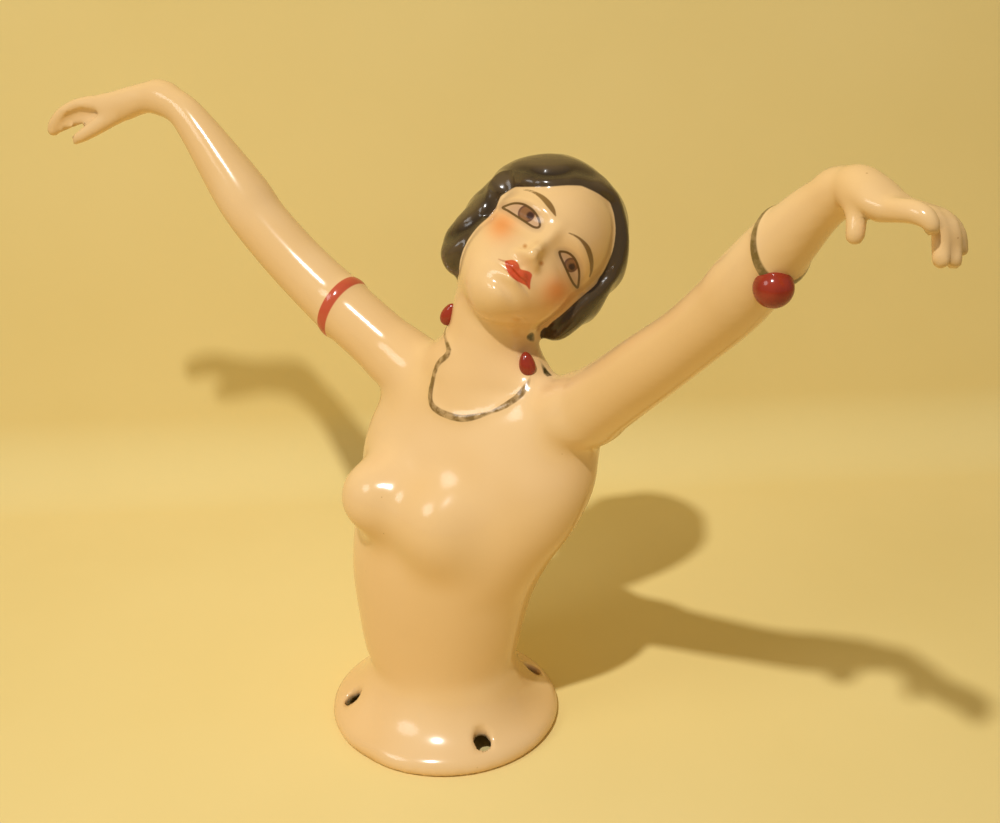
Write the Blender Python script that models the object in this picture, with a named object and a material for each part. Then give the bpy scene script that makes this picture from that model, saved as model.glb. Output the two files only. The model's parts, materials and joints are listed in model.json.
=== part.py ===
"""Porcelain half doll: a glazed bust with both arms raised, hollow below and open at the foot.

Units are metres in the scene and millimetres in the numbers below. +Z is up, the doll faces -Y
and her left hand is on the +X side. The numbers are taken from the middle of the foot, and the
finished doll is then moved so that its outer box is centred over the origin, with the foot on Z = 0.
"""

import math
from typing import NamedTuple

import bmesh
import bpy
import numpy as np
from mathutils import Matrix, Vector

MM = 0.001

# Foot: a thin round flange with four sewing holes
FOOT_DIAMETER = 40.0
FOOT_THICKNESS = 2.0
FOOT_FLARE = 4.5
SEW_HOLE_DIAMETER = 3.0
SEW_HOLE_CIRCLE = 31.8
FRONT_HOLE_ANGLE = 57.0
BACK_HOLE_ANGLE = 35.0
NICK_LENGTH = 8.0
NICK_ANGLE = -103.0

# Casting: the slip leaves a wall of one thickness inside the torso
WALL = 2.6
CAVITY_TOP = 55.0

# Head: its size, its place above the foot and the three turns that throw it back
HEAD_SCALE = 0.986
HEAD_CENTRE = (11.35, 8.8, 83.0)
HEAD_LEAN = -18.5
HEAD_BACK = 60.6
HEAD_TWIST = 47.8
HAIR_THICKNESS = 2.1

# Jewellery that stands proud of the skin
BANGLE_BALL_DIAMETER = 5.1
EARRING_DIAMETER = 2.9
RAISED_LINE = 0.35

# Mesh: the pitch of the first skin and the share of triangles kept where it is plain
SKIN_PITCH = 0.9
KEPT_TRIANGLES = 10600
FINE_REGIONS = ((HEAD_CENTRE, 21.0), ((-75.0, 4.0, 98.0), 11.0), ((76.0, -27.0, 107.5), 11.0))

CHEST_YAW = -7.0
LOFT_STEPS = 5
RING_POINTS = 20

# Each row is a cross-section: centre x, y, z, then half width and half depth.
TORSO_ROWS = (
    (-0.4, 0.0, -3.0, 12.7, 11.4),
    (-0.4, 0.0, 4.0, 12.7, 11.4),
    (-0.6, 0.0, 12.0, 13.0, 11.6),
    (-0.4, 0.2, 20.0, 14.0, 12.2),
    (-0.1, 0.3, 28.0, 15.5, 12.7),
    (0.9, 0.4, 36.0, 16.8, 12.9),
    (2.9, 1.4, 43.0, 18.5, 13.3),
    (5.0, 2.8, 50.0, 20.2, 12.9),
    (6.3, 3.7, 56.0, 19.8, 11.4),
    (6.6, 4.1, 61.0, 15.8, 9.2),
    (6.6, 4.4, 65.0, 11.0, 7.4),
)
NECK_ROWS = (
    (5.6, 4.2, 60.0, 11.0, 8.6),
    (5.2, 4.0, 64.5, 8.6, 8.0),
    (5.7, 4.2, 68.0, 6.6, 7.0),
    (7.1, 4.7, 72.0, 6.9, 6.9),
    (8.3, 5.5, 77.0, 7.3, 7.2),
    (9.4, 6.8, 82.0, 6.4, 6.6),
)
RIGHT_ARM_ROWS = (
    (-2.0, 5.4, 59.0, 7.0, 6.0),
    (-11.7, 6.3, 63.4, 5.7, 5.8),
    (-16.0, 6.4, 66.0, 5.2, 5.3),
    (-24.0, 6.7, 71.0, 5.1, 5.2),
    (-32.0, 7.0, 76.6, 4.8, 4.9),
    (-39.0, 7.2, 82.6, 4.7, 4.7),
    (-42.4, 7.3, 86.4, 4.8, 4.8),
    (-45.5, 7.4, 90.0, 4.4, 4.5),
    (-51.6, 7.6, 97.2, 3.2, 3.4),
    (-55.4, 7.8, 100.6, 2.7, 2.9),
    (-60.4, 8.0, 102.3, 2.5, 2.8),
)
LEFT_ARM_ROWS = (
    (14.0, 3.6, 57.0, 7.0, 6.0),
    (25.0, 0.9, 63.3, 6.6, 6.2),
    (29.6, -1.6, 67.3, 5.6, 5.6),
    (37.6, -5.9, 75.0, 5.0, 5.1),
    (44.9, -9.7, 82.1, 4.6, 4.7),
    (51.0, -13.0, 88.8, 4.6, 4.7),
    (54.0, -14.6, 92.8, 4.8, 4.8),
    (58.2, -16.8, 98.5, 4.2, 4.3),
    (62.8, -19.2, 104.4, 3.4, 3.4),
    (66.2, -20.9, 107.8, 2.8, 2.8),
)
RIGHT_PALM_ROWS = (
    (-59.0, 8.3, 102.1, 2.6, 2.7),
    (-62.0, 7.6, 102.1, 2.4, 2.6),
    (-64.6, 6.8, 101.4, 2.2, 2.6),
    (-67.4, 6.0, 100.4, 1.9, 2.7),
    (-70.5, 5.3, 99.7, 1.5, 2.4),
)
RIGHT_FINGER_ROWS = (
    (-69.0, 5.7, 99.9, 1.5, 2.3),
    (-72.3, 5.0, 99.6, 1.4, 2.3),
    (-75.2, 4.3, 99.1, 1.3, 2.2),
    (-78.1, 3.5, 97.8, 1.2, 2.0),
    (-80.2, 3.0, 96.3, 1.0, 1.5),
    (-81.1, 2.8, 95.2, 0.8, 1.0),
)
RIGHT_HOLLOW_ROWS = (
    (-72.0, 3.9, 98.9, 0.8, 1.3),
    (-74.4, 3.3, 98.7, 1.1, 1.8),
    (-76.8, 2.7, 97.8, 1.1, 1.8),
    (-79.0, 2.2, 96.2, 1.0, 1.4),
    (-80.6, 1.9, 94.2, 0.8, 0.9),
)
RIGHT_THUMB_ROWS = (
    (-68.4, 5.5, 98.8, 1.5, 1.6),
    (-71.0, 4.6, 97.2, 1.4, 1.5),
    (-72.8, 4.0, 96.0, 1.3, 1.3),
    (-74.6, 3.4, 94.9, 1.1, 1.1),
    (-76.0, 3.0, 94.1, 0.8, 0.8),
)
LEFT_PALM_ROWS = (
    (66.2, -20.7, 108.0, 2.7, 2.7),
    (67.6, -21.9, 108.9, 2.6, 2.5),
    (69.2, -23.3, 109.4, 2.8, 2.6),
    (70.8, -24.6, 109.3, 3.0, 2.3),
    (72.4, -25.6, 108.9, 3.1, 1.9),
    (73.6, -26.2, 108.7, 2.8, 1.5),
)
LEFT_INDEX_ROWS = (
    (72.6, -27.1, 108.3, 1.4, 1.4),
    (75.7, -28.9, 108.8, 1.3, 1.3),
    (77.3, -29.8, 108.8, 1.1, 1.1),
    (78.4, -30.2, 108.1, 0.9, 0.9),
    (78.8, -30.3, 107.5, 0.8, 0.8),
)
LEFT_MIDDLE_ROWS = (
    (73.4, -26.3, 109.0, 1.2, 1.2),
    (76.0, -27.3, 108.9, 1.1, 1.1),
    (78.2, -28.2, 108.7, 1.1, 1.1),
    (79.5, -29.0, 107.8, 1.1, 1.1),
    (80.3, -30.0, 105.8, 1.1, 1.1),
    (80.8, -30.4, 104.2, 1.1, 1.1),
)
LEFT_RING_ROWS = (
    (73.9, -24.7, 109.0, 1.2, 1.2),
    (77.0, -25.9, 108.8, 1.0, 1.0),
    (79.4, -26.7, 108.2, 1.0, 1.0),
    (80.9, -27.7, 106.6, 1.0, 1.0),
    (81.6, -28.1, 104.9, 0.9, 0.9),
)
LEFT_LITTLE_ROWS = (
    (74.3, -23.5, 108.6, 1.0, 1.0),
    (77.3, -24.1, 108.2, 0.9, 0.9),
    (79.8, -24.8, 107.4, 0.9, 0.9),
    (81.3, -25.5, 106.0, 0.8, 0.8),
    (81.9, -25.8, 104.6, 0.8, 0.8),
)
LEFT_THUMB_ROWS = (
    (69.0, -24.6, 108.4, 1.5, 1.5),
    (69.8, -26.2, 107.2, 1.2, 1.2),
    (70.2, -27.2, 106.0, 1.1, 1.1),
    (70.3, -27.6, 105.2, 1.05, 1.05),
)

# Head frame: her left is +x, the back of the head +y and the crown +z, from a point between the eyes.
CRANIUM = ((0.0, 0.8, 4.9), (10.3, 12.4, 12.3))
JAW = ((0.0, -1.6, -3.2), (8.9, 8.8, 9.6))
CHIN = ((0.0, -5.6, -9.0), (4.6, 4.8, 4.2))

# Face relief: where it stands across (x) and up (z), its spread each way, and its height.
FACE_RELIEF = (
    (0.0, 0.4, 1.2, 2.4, 0.6),
    (-0.1, -3.6, 1.25, 1.9, 2.1),
    (-0.1, -4.9, 1.5, 0.8, 0.9),
    (1.5, -5.0, 0.8, 0.7, 0.6),
    (-1.6, -5.0, 0.8, 0.7, 0.6),
    (0.0, -6.6, 0.6, 0.7, -0.25),
    (0.9, -7.4, 0.9, 0.5, 0.6),
    (-0.9, -7.4, 0.9, 0.5, 0.6),
    (0.0, -9.2, 1.5, 0.6, 0.7),
    (0.0, -8.3, 2.8, 0.35, -0.55),
    (0.0, -10.6, 2.4, 0.7, -0.6),
    (0.0, -12.3, 2.4, 1.6, 0.5),
    (5.0, -0.2, 2.7, 1.7, -1.5),
    (-5.0, -0.2, 2.7, 1.7, -1.5),
    (5.2, -0.4, 1.9, 1.0, 1.0),
    (-5.2, -0.4, 1.9, 1.0, 1.0),
    (4.8, 2.9, 3.4, 1.1, 0.5),
    (-4.8, 2.9, 3.4, 1.1, 0.5),
    (5.8, -5.2, 2.6, 2.4, 0.5),
    (-5.8, -5.2, 2.6, 2.4, 0.5),
)

# Hair: one full mass, then the side locks and the nape
HAIR_MASS = ((-0.2, 2.2, 5.8), (11.4, 11.8, 12.0))
TOP_LOCK = ((-4.6, -0.5, 10.6), (6.4, 7.0, 6.4))
LEFT_LOCK = ((10.2, 2.6, 1.0), (3.4, 5.2, 7.2))
RIGHT_LOCK = ((-8.2, 3.6, -2.0), (4.8, 5.6, 6.8))
NAPE = ((0.6, 7.6, -3.0), (8.2, 5.6, 6.6))
WAVE_PITCH = 7.0
WAVE_HEIGHT = 0.35
HAIRLINE_LEAN = 25.8

# Hairline on a plane square to that lean: across and up, clockwise from below her left ear.
HAIRLINE = (
    (9.8, -18.0), (-5.4, -18.0), (-6.2, -9.5), (-7.8, -7.1), (-8.8, -4.2), (-9.2, -0.5),
    (-9.4, 2.5), (-10.6, 4.4), (-9.6, 7.2), (-7.8, 8.7), (-5.4, 10.8), (-3.6, 12.7),
    (-2.0, 14.2), (0.6, 15.2), (3.4, 15.8), (5.4, 15.7), (7.6, 12.7), (9.0, 10.3),
    (9.8, 7.5), (10.1, 4.0), (9.9, 0.0), (9.7, -4.0),
)

# Breasts: place on the chest, then half sizes
BREASTS = (((-5.7, -8.8, 47.4), (6.6, 6.6, 7.6)), ((9.6, -8.8, 47.2), (6.8, 5.8, 8.0)))

# Worn pieces: the plane of the necklace, the rings on the arms, the ball and the ear drops
NECKLACE_POINT = (6.9, 4.7, 66.0)
NECKLACE_NORMAL = (0.0, -0.35, 0.94)
NECKLACE_REACH = 13.0
ARMLET_POINT = (-23.5, 6.5, 70.9)
ARMLET_NORMAL = (-0.91, 0.04, 0.4)
BANGLE_POINT = (58.5, -18.2, 99.4)
BANGLE_NORMAL = (0.8, -0.39, 0.45)
BALL_CENTRE = (59.3, -19.7, 94.9)
EARRING_CENTRES = ((-0.2, 4.4, 73.5), (13.8, -0.2, 69.2))


class Limb(NamedTuple):
    """A tapering piece with oval sections: its axis, the half sizes along it and the way it faces."""

    axis: np.ndarray
    radii: np.ndarray
    side: np.ndarray


def smooth_rows(rows):
    """Rows with more rows between them, on one smooth curve through them all."""
    keys = np.array(rows)
    before = np.vstack([2 * keys[:1] - keys[1:2], keys[:-2]]) if len(keys) > 2 else keys[:1]
    after = np.vstack([keys[2:], 2 * keys[-1:] - keys[-2:-1]]) if len(keys) > 2 else keys[1:]
    share = np.linspace(0, 1, LOFT_STEPS, endpoint=False)[:, None, None]
    start, end = keys[:-1], keys[1:]
    curve = 0.5 * (
        2 * start
        + (end - before) * share
        + (2 * before - 5 * start + 4 * end - after) * share**2
        + (3 * start - before - 3 * end + after) * share**3
    )
    return np.vstack([curve.transpose(1, 0, 2).reshape(-1, keys.shape[1]), keys[-1:]])


def limb(rows, side=(0.0, 0.0, 0.0)):
    """A limb through these rows. Its half width lies along side, or level where none is given."""
    dense = smooth_rows(rows)
    along = dense[-1, :3] - dense[0, :3]
    facing = np.array(side) if any(side) else np.array((-along[1], along[0], 0.0))
    return Limb(dense[:, :3], dense[:, 3:5], facing / np.linalg.norm(facing))


def limb_frames(piece):
    """The tangent, side and cross directions at every row of a limb."""
    tangent = np.gradient(piece.axis, axis=0)
    tangent /= np.linalg.norm(tangent, axis=1)[:, None]
    side = piece.side - (tangent @ piece.side)[:, None] * tangent
    side /= np.linalg.norm(side, axis=1)[:, None]
    return tangent, side, np.cross(tangent, side)


def limb_distance(points, piece, reach=9.0):
    """How far each point stands outside the limb; points beyond its reach get that reach."""
    low = piece.axis.min(axis=0) - piece.radii.max() - reach
    high = piece.axis.max(axis=0) + piece.radii.max() + reach
    near = np.flatnonzero(((points > low) & (points < high)).all(axis=1))
    found = np.full(len(points), reach)
    if not len(near):
        return found
    spot = points[near]
    start, span = piece.axis[:-1], np.diff(piece.axis, axis=0)
    gap = spot[:, None] - start
    share = np.clip((gap * span).sum(axis=2) / (span**2).sum(axis=1), 0, 1)
    nearest = ((gap - share[..., None] * span) ** 2).sum(axis=2).argmin(axis=1)
    share = np.take_along_axis(share, nearest[:, None], axis=1)
    tangent, side, cross = limb_frames(piece)
    along, sideways, upward = (
        way[nearest] * (1 - share) + way[nearest + 1] * share for way in (tangent, side, cross)
    )
    radii = piece.radii[nearest] * (1 - share) + piece.radii[nearest + 1] * share
    gap = spot - start[nearest] - share * span[nearest]
    level = np.sqrt(
        ((gap * sideways).sum(axis=1) / radii[:, 0]) ** 2
        + ((gap * upward).sum(axis=1) / radii[:, 1]) ** 2
        + ((gap * along).sum(axis=1) / radii.min(axis=1)) ** 2
    )
    level = np.maximum(level, 1e-6)
    found[near] = np.linalg.norm(gap, axis=1) * (1 - 1 / level)
    return np.minimum(found, reach)


def oval_distance(points, oval, grow=0.0):
    """How far each point stands outside an ellipsoid given as its centre and half sizes."""
    offset = points - np.array(oval[0])
    size = np.array(oval[1]) + grow
    level = np.linalg.norm(offset / size, axis=1)
    slope = np.maximum(np.linalg.norm(offset / size**2, axis=1), 1e-9)
    return level * (level - 1) / slope


def join(first, second, blend):
    """Two skins run into one, with a fillet about as wide as the blend."""
    share = np.clip(0.5 + 0.5 * (second - first) / blend, 0, 1)
    return second * (1 - share) + first * share - blend * share * (1 - share)


def cut(body, tool, blend):
    """A skin with a tool taken out of it, with its edge rounded by the blend."""
    return -join(-body, tool, blend)


def turn(axis, degrees):
    """A turn about one axis as a 3 x 3 array."""
    return np.array(Matrix.Rotation(math.radians(degrees), 3, axis))


def head_frame():
    """The turn that carries the head frame into the doll's frame."""
    return turn("Z", HEAD_LEAN) @ turn("X", -HEAD_BACK) @ turn("Z", HEAD_TWIST)


def outline_distance(spots, outline):
    """How far each 2-D spot stands outside a closed outline, negative inside."""
    corners = np.array(outline)
    away = np.full(len(spots), 1e9)
    inside = np.zeros(len(spots), bool)
    for start, end in zip(corners, np.roll(corners, -1, axis=0)):
        span = end - start
        gap = spots - start
        share = np.clip(gap @ span / (span @ span), 0, 1)
        away = np.minimum(away, np.linalg.norm(gap - share[:, None] * span, axis=1))
        rises = (start[1] > spots[:, 1]) != (end[1] > spots[:, 1])
        inside ^= rises & (gap[:, 0] < span[0] * gap[:, 1] / (span[1] or 1e-9))
    return np.where(inside, -away, away)


def face_relief(local):
    """The height that the features add to the plain head, fading out behind the cheeks."""
    height = np.zeros(len(local))
    for x, z, across, up, rise in FACE_RELIEF:
        height += rise * np.exp(-(((local[:, 0] - x) / across) ** 2) - ((local[:, 2] - z) / up) ** 2)
    return height * np.clip(-local[:, 1] / 4.0, 0, 1)


def hair_distance(local):
    """The bobbed hair: waved masses with the face left open below the hairline."""
    mass = oval_distance(local, HAIR_MASS, HAIR_THICKNESS)
    for lock in (TOP_LOCK, LEFT_LOCK, RIGHT_LOCK, NAPE):
        mass = join(mass, oval_distance(local, lock), 2.0)
    wave = np.cos(2 * math.pi * (local[:, 2] + 0.35 * np.abs(local[:, 0])) / WAVE_PITCH)
    mass = mass - WAVE_HEIGHT * wave
    lean = math.radians(HAIRLINE_LEAN)
    up = local[:, 2] * math.cos(lean) - local[:, 1] * math.sin(lean)
    toward = -local[:, 1] * math.cos(lean) - local[:, 2] * math.sin(lean)
    opening = outline_distance(np.stack([local[:, 0], up], axis=1), HAIRLINE)
    return cut(mass, np.maximum(opening, 0.6 - toward), 1.6)


def head_distance(points):
    """The whole head, with its features and hair."""
    local = (points - np.array(HEAD_CENTRE)) @ head_frame() / HEAD_SCALE
    skull = join(oval_distance(local, CRANIUM), oval_distance(local, JAW), 3.0)
    skull = join(skull, oval_distance(local, CHIN), 3.0) - face_relief(local)
    return join(skull, hair_distance(local), 0.9) * HEAD_SCALE


def foot_distance(points):
    """The flange: a disc with a rounded rim and one worn nick."""
    edge = FOOT_THICKNESS / 2 - 0.1
    out = np.hypot(points[:, 0], points[:, 1]) - FOOT_DIAMETER / 2 + edge
    rise = np.abs(points[:, 2] - FOOT_THICKNESS / 2) - FOOT_THICKNESS / 2 + edge
    disc = np.hypot(np.maximum(out, 0), np.maximum(rise, 0)) + np.minimum(np.maximum(out, rise), 0)
    angle = math.radians(NICK_ANGLE)
    chord = math.sqrt(FOOT_DIAMETER**2 - NICK_LENGTH**2) / 2
    flat = points[:, 0] * math.cos(angle) + points[:, 1] * math.sin(angle) - chord
    return np.maximum(disc - edge, flat)


def ring_height(points, point, normal, reach):
    """A raised line where a plane crosses the skin, fading beyond its reach from that point."""
    offset = points - np.array(point)
    normal = np.array(normal) / np.linalg.norm(normal)
    above = offset @ normal
    sideways = np.linalg.norm(offset - above[:, None] * normal, axis=1)
    return RAISED_LINE * np.exp(-((above / 0.7) ** 2)) * (sideways < reach)


def doll_distance(points, limbs):
    """The whole skin of the doll, standing on the foot plane."""
    body = join(limb_distance(points, limbs["torso"], 40.0), foot_distance(points), FOOT_FLARE)
    for breast in BREASTS:
        body = join(body, oval_distance(points, breast), 6.0)
    for name, blend in (("right arm", 4.0), ("left arm", 4.0), ("neck", 3.0)):
        body = join(body, limb_distance(points, limbs[name]), blend)
    for name in ("right palm", "left palm", "left thumb"):
        body = join(body, limb_distance(points, limbs[name]), 1.2)
    body = join(body, limb_distance(points, limbs["right fingers"]), 0.8)
    body = cut(body, limb_distance(points, limbs["right hollow"]), 0.5)
    body = join(body, limb_distance(points, limbs["right thumb"]), 0.6)
    for name in ("left index", "left middle", "left ring", "left little"):
        body = join(body, limb_distance(points, limbs[name]), 0.5)
    body = join(body, head_distance(points), 1.6)
    for point, normal, reach in (
        (NECKLACE_POINT, NECKLACE_NORMAL, NECKLACE_REACH),
        (ARMLET_POINT, ARMLET_NORMAL, 8.0),
        (BANGLE_POINT, BANGLE_NORMAL, 8.0),
    ):
        body = body - ring_height(points, point, normal, reach)
    ball = (BALL_CENTRE, (BANGLE_BALL_DIAMETER / 2,) * 3)
    body = join(body, oval_distance(points, ball), 0.4)
    for centre in EARRING_CENTRES:
        body = join(body, oval_distance(points, (centre, (EARRING_DIAMETER / 2,) * 3)), 0.4)
    return np.maximum(body, -points[:, 2])


def limb_table():
    """Every limb of the doll by name."""
    yaw = math.radians(CHEST_YAW)
    chest = (math.cos(yaw), math.sin(yaw), 0.0)
    return {
        "torso": limb(TORSO_ROWS, chest),
        "neck": limb(NECK_ROWS, chest),
        "right arm": limb(RIGHT_ARM_ROWS),
        "left arm": limb(LEFT_ARM_ROWS),
        "right palm": limb(RIGHT_PALM_ROWS),
        "right fingers": limb(RIGHT_FINGER_ROWS),
        "right hollow": limb(RIGHT_HOLLOW_ROWS),
        "right thumb": limb(RIGHT_THUMB_ROWS),
        "left palm": limb(LEFT_PALM_ROWS),
        "left index": limb(LEFT_INDEX_ROWS),
        "left middle": limb(LEFT_MIDDLE_ROWS),
        "left ring": limb(LEFT_RING_ROWS),
        "left little": limb(LEFT_LITTLE_ROWS),
        "left thumb": limb(LEFT_THUMB_ROWS),
    }


def loft(mesh, piece, grow=0.0):
    """Adds a limb to the mesh as rings joined in turn and closed at both ends."""
    rings = []
    for centre, radii, *ways in zip(piece.axis, piece.radii + grow, *limb_frames(piece)):
        tangent, side, cross = ways
        frame = Matrix(np.column_stack([side * radii[0], cross * radii[1], tangent]).tolist()).to_4x4()
        frame.translation = centre.tolist()
        made = bmesh.ops.create_circle(mesh, segments=RING_POINTS, radius=1, matrix=frame)
        rings.append(made["verts"])
    for first, second in zip(rings, rings[1:]):
        for index in range(RING_POINTS):
            after = (index + 1) % RING_POINTS
            mesh.faces.new((first[index], first[after], second[after], second[index]))
    mesh.faces.new(rings[0][::-1])
    mesh.faces.new(rings[-1])


def oval(mesh, centre, size, frame):
    """Adds an ellipsoid to the mesh, turned by a frame about its centre."""
    shape = Matrix((np.array(frame) @ np.diag(size)).tolist()).to_4x4()
    shape.translation = centre
    bmesh.ops.create_icosphere(mesh, subdivisions=3, radius=1, matrix=shape)


def disc(mesh, diameter, low, high):
    """Adds an upright cylinder between two heights on the Z axis."""
    place = Matrix.Translation((0, 0, (low + high) / 2))
    bmesh.ops.create_cone(
        mesh, cap_ends=True, segments=64, radius1=diameter / 2, radius2=diameter / 2, depth=high - low,
        matrix=place,
    )


def rough_doll(limbs):
    """Closed shapes that overlap wherever the skin runs from one to the next."""
    mesh = bmesh.new()
    for name, piece in limbs.items():
        if name == "right hollow":
            continue
        loft(mesh, piece)
        if name != "torso":
            oval(mesh, piece.axis[-1].tolist(), (piece.radii[-1].min(),) * 3, np.eye(3))
    disc(mesh, FOOT_DIAMETER, 0, FOOT_THICKNESS)
    turned = head_frame()
    for centre, size in (CRANIUM, JAW, CHIN, HAIR_MASS, TOP_LOCK, LEFT_LOCK, RIGHT_LOCK, NAPE):
        place = np.array(HEAD_CENTRE) + turned @ np.array(centre) * HEAD_SCALE
        oval(mesh, place.tolist(), np.array(size) * HEAD_SCALE, turned)
    plain = np.eye(3)
    for centre, size in BREASTS:
        oval(mesh, centre, size, plain)
    oval(mesh, BALL_CENTRE, (BANGLE_BALL_DIAMETER / 2,) * 3, plain)
    for centre in EARRING_CENTRES:
        oval(mesh, centre, (EARRING_DIAMETER / 2,) * 3, plain)
    everything = mesh.verts[:] + mesh.edges[:] + mesh.faces[:]
    bmesh.ops.bisect_plane(
        mesh, geom=everything, plane_co=(0, 0, 0.02), plane_no=(0, 0, -1), clear_outer=True
    )
    bmesh.ops.holes_fill(mesh, edges=[edge for edge in mesh.edges if edge.is_boundary])
    bmesh.ops.recalc_face_normals(mesh, faces=mesh.faces)
    return mesh


def refine(data):
    """Splits the faces of the head and the hands in four, so that small features have enough points."""
    mesh = bmesh.new()
    mesh.from_mesh(data)
    for centre, reach in FINE_REGIONS:
        middle = Vector(centre)
        edges = [
            edge for edge in mesh.edges
            if all((corner.co - middle).length < reach for corner in edge.verts)
        ]
        bmesh.ops.subdivide_edges(mesh, edges=edges, cuts=1, use_grid_fill=True)
    mesh.to_mesh(data)
    mesh.free()


def settle(points, limbs, rounds):
    """Points moved square to the skin until they lie on it."""
    step = 0.02
    corners = np.array(((1, 1, 1), (1, -1, -1), (-1, 1, -1), (-1, -1, 1))) * step
    for _ in range(rounds):
        values = np.stack([doll_distance(points + corner, limbs) for corner in corners])
        slope = values.T @ corners / (4 * step**2)
        here = values.mean(axis=0)
        steep = np.maximum((slope**2).sum(axis=1), 0.25)
        move = -(here / steep)[:, None] * slope
        length = np.linalg.norm(move, axis=1)[:, None]
        points = points + move * np.minimum(1, 1.0 / np.maximum(length, 1e-9))
    return points


def add_object(mesh, name):
    """A scene object made from a bmesh."""
    data = bpy.data.meshes.new(name)
    mesh.to_mesh(data)
    mesh.free()
    made = bpy.data.objects.new(name, data)
    bpy.context.collection.objects.link(made)
    return made


def apply_modifiers(made):
    """The object's mesh with its modifiers worked in."""
    graph = bpy.context.evaluated_depsgraph_get()
    worked = bpy.data.meshes.new_from_object(made.evaluated_get(graph))
    made.modifiers.clear()
    made.data = worked


def places(data):
    """The vertex positions of a mesh."""
    found = np.empty(len(data.vertices) * 3)
    data.vertices.foreach_get("co", found)
    return found.reshape(-1, 3)


def place(data, points):
    """Writes vertex positions into a mesh."""
    data.vertices.foreach_set("co", points.ravel())
    data.update()


def cavity_cutter(limbs):
    """The space inside the torso, open through the foot."""
    torso = limbs["torso"]
    inside = torso.axis[:, 2] < CAVITY_TOP
    narrow = Limb(torso.axis[inside][::3], torso.radii[inside][::3] - WALL, torso.side)
    mesh = bmesh.new()
    loft(mesh, narrow)
    bmesh.ops.scale(mesh, vec=(MM,) * 3, verts=mesh.verts)
    bmesh.ops.recalc_face_normals(mesh, faces=mesh.faces)
    return cutter(mesh, "torso_space")


def hole_cutter(name, angle):
    """A pin for one sewing hole through the flange."""
    mesh = bmesh.new()
    radius = SEW_HOLE_CIRCLE / 2
    where = (radius * math.cos(math.radians(angle)), radius * math.sin(math.radians(angle)), 0)
    bmesh.ops.create_cone(
        mesh, cap_ends=True, segments=20, radius1=SEW_HOLE_DIAMETER / 2, radius2=SEW_HOLE_DIAMETER / 2,
        depth=6 * FOOT_THICKNESS, matrix=Matrix.Translation(where),
    )
    bmesh.ops.scale(mesh, vec=(MM,) * 3, verts=mesh.verts)
    return cutter(mesh, name)


def cutter(mesh, name):
    """A helper object that only cuts."""
    made = add_object(mesh, name)
    made.hide_render = True
    made.display_type = "WIRE"
    return made


def take_out(body, tool):
    """A live cut of a tool from the body."""
    modifier = body.modifiers.new(tool.name, "BOOLEAN")
    modifier.operation = "DIFFERENCE"
    modifier.solver = "EXACT"
    modifier.object = tool


def porcelain():
    """Cream bone china under a clear glaze."""
    material = bpy.data.materials.new("glazed_porcelain")
    material.use_nodes = True
    shader = material.node_tree.nodes["Principled BSDF"]
    shader.inputs["Base Color"].default_value = (0.86, 0.68, 0.48, 1)
    shader.inputs["Roughness"].default_value = 0.15
    shader.inputs["Metallic"].default_value = 0.0
    return material


def skin_object(limbs):
    """The doll's closed skin as one object, before the hollow and the holes."""
    body = add_object(rough_doll(limbs), "half_doll")
    for rounds in (4, 3):
        remesh = body.modifiers.new("skin", "REMESH")
        remesh.mode = "VOXEL"
        remesh.voxel_size = SKIN_PITCH
        apply_modifiers(body)
        place(body.data, settle(places(body.data), limbs, rounds))
    refine(body.data)
    place(body.data, settle(places(body.data), limbs, 3))
    thin = body.modifiers.new("thin", "DECIMATE")
    thin.ratio = KEPT_TRIANGLES / sum(len(face.vertices) - 2 for face in body.data.polygons)
    apply_modifiers(body)
    place(body.data, places(body.data) * MM)
    body.data.update()
    return body


def centre_over_origin(body):
    """Moves the doll and its cutters sideways together until the outer box is centred on the origin."""
    points = places(body.data)
    middle = (points.min(axis=0) + points.max(axis=0)) / 2
    for made in bpy.data.objects:
        place(made.data, places(made.data) - (middle[0], middle[1], 0))


def build():
    """Clears the scene and makes the half doll."""
    for old in list(bpy.data.objects):
        bpy.data.objects.remove(old, do_unlink=True)
    limbs = limb_table()
    body = skin_object(limbs)
    body.data.materials.clear()
    body.data.materials.append(porcelain())
    body.data.polygons.foreach_set("use_smooth", [True] * len(body.data.polygons))
    take_out(body, cavity_cutter(limbs))
    for name, angle in (
        ("front_left_hole", -90 + FRONT_HOLE_ANGLE),
        ("front_right_hole", -90 - FRONT_HOLE_ANGLE),
        ("back_left_hole", 90 - BACK_HOLE_ANGLE),
        ("back_right_hole", 90 + BACK_HOLE_ANGLE),
    ):
        take_out(body, hole_cutter(name, angle))
    centre_over_origin(body)


build()
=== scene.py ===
"""Porcelain half doll: the fine glazed casting, its painted face, hair and jewellery, in a pale studio.

Lengths in the tables are millimetres from the middle of the foot. +Z is up, the doll faces -Y and
her left hand is on the +X side.
"""

import json
import logging
import math
from dataclasses import dataclass, field
from enum import Enum
from typing import Callable, Iterable, Sequence

import bmesh
import bpy
import numpy as np
from mathutils import Matrix, Vector

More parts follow.
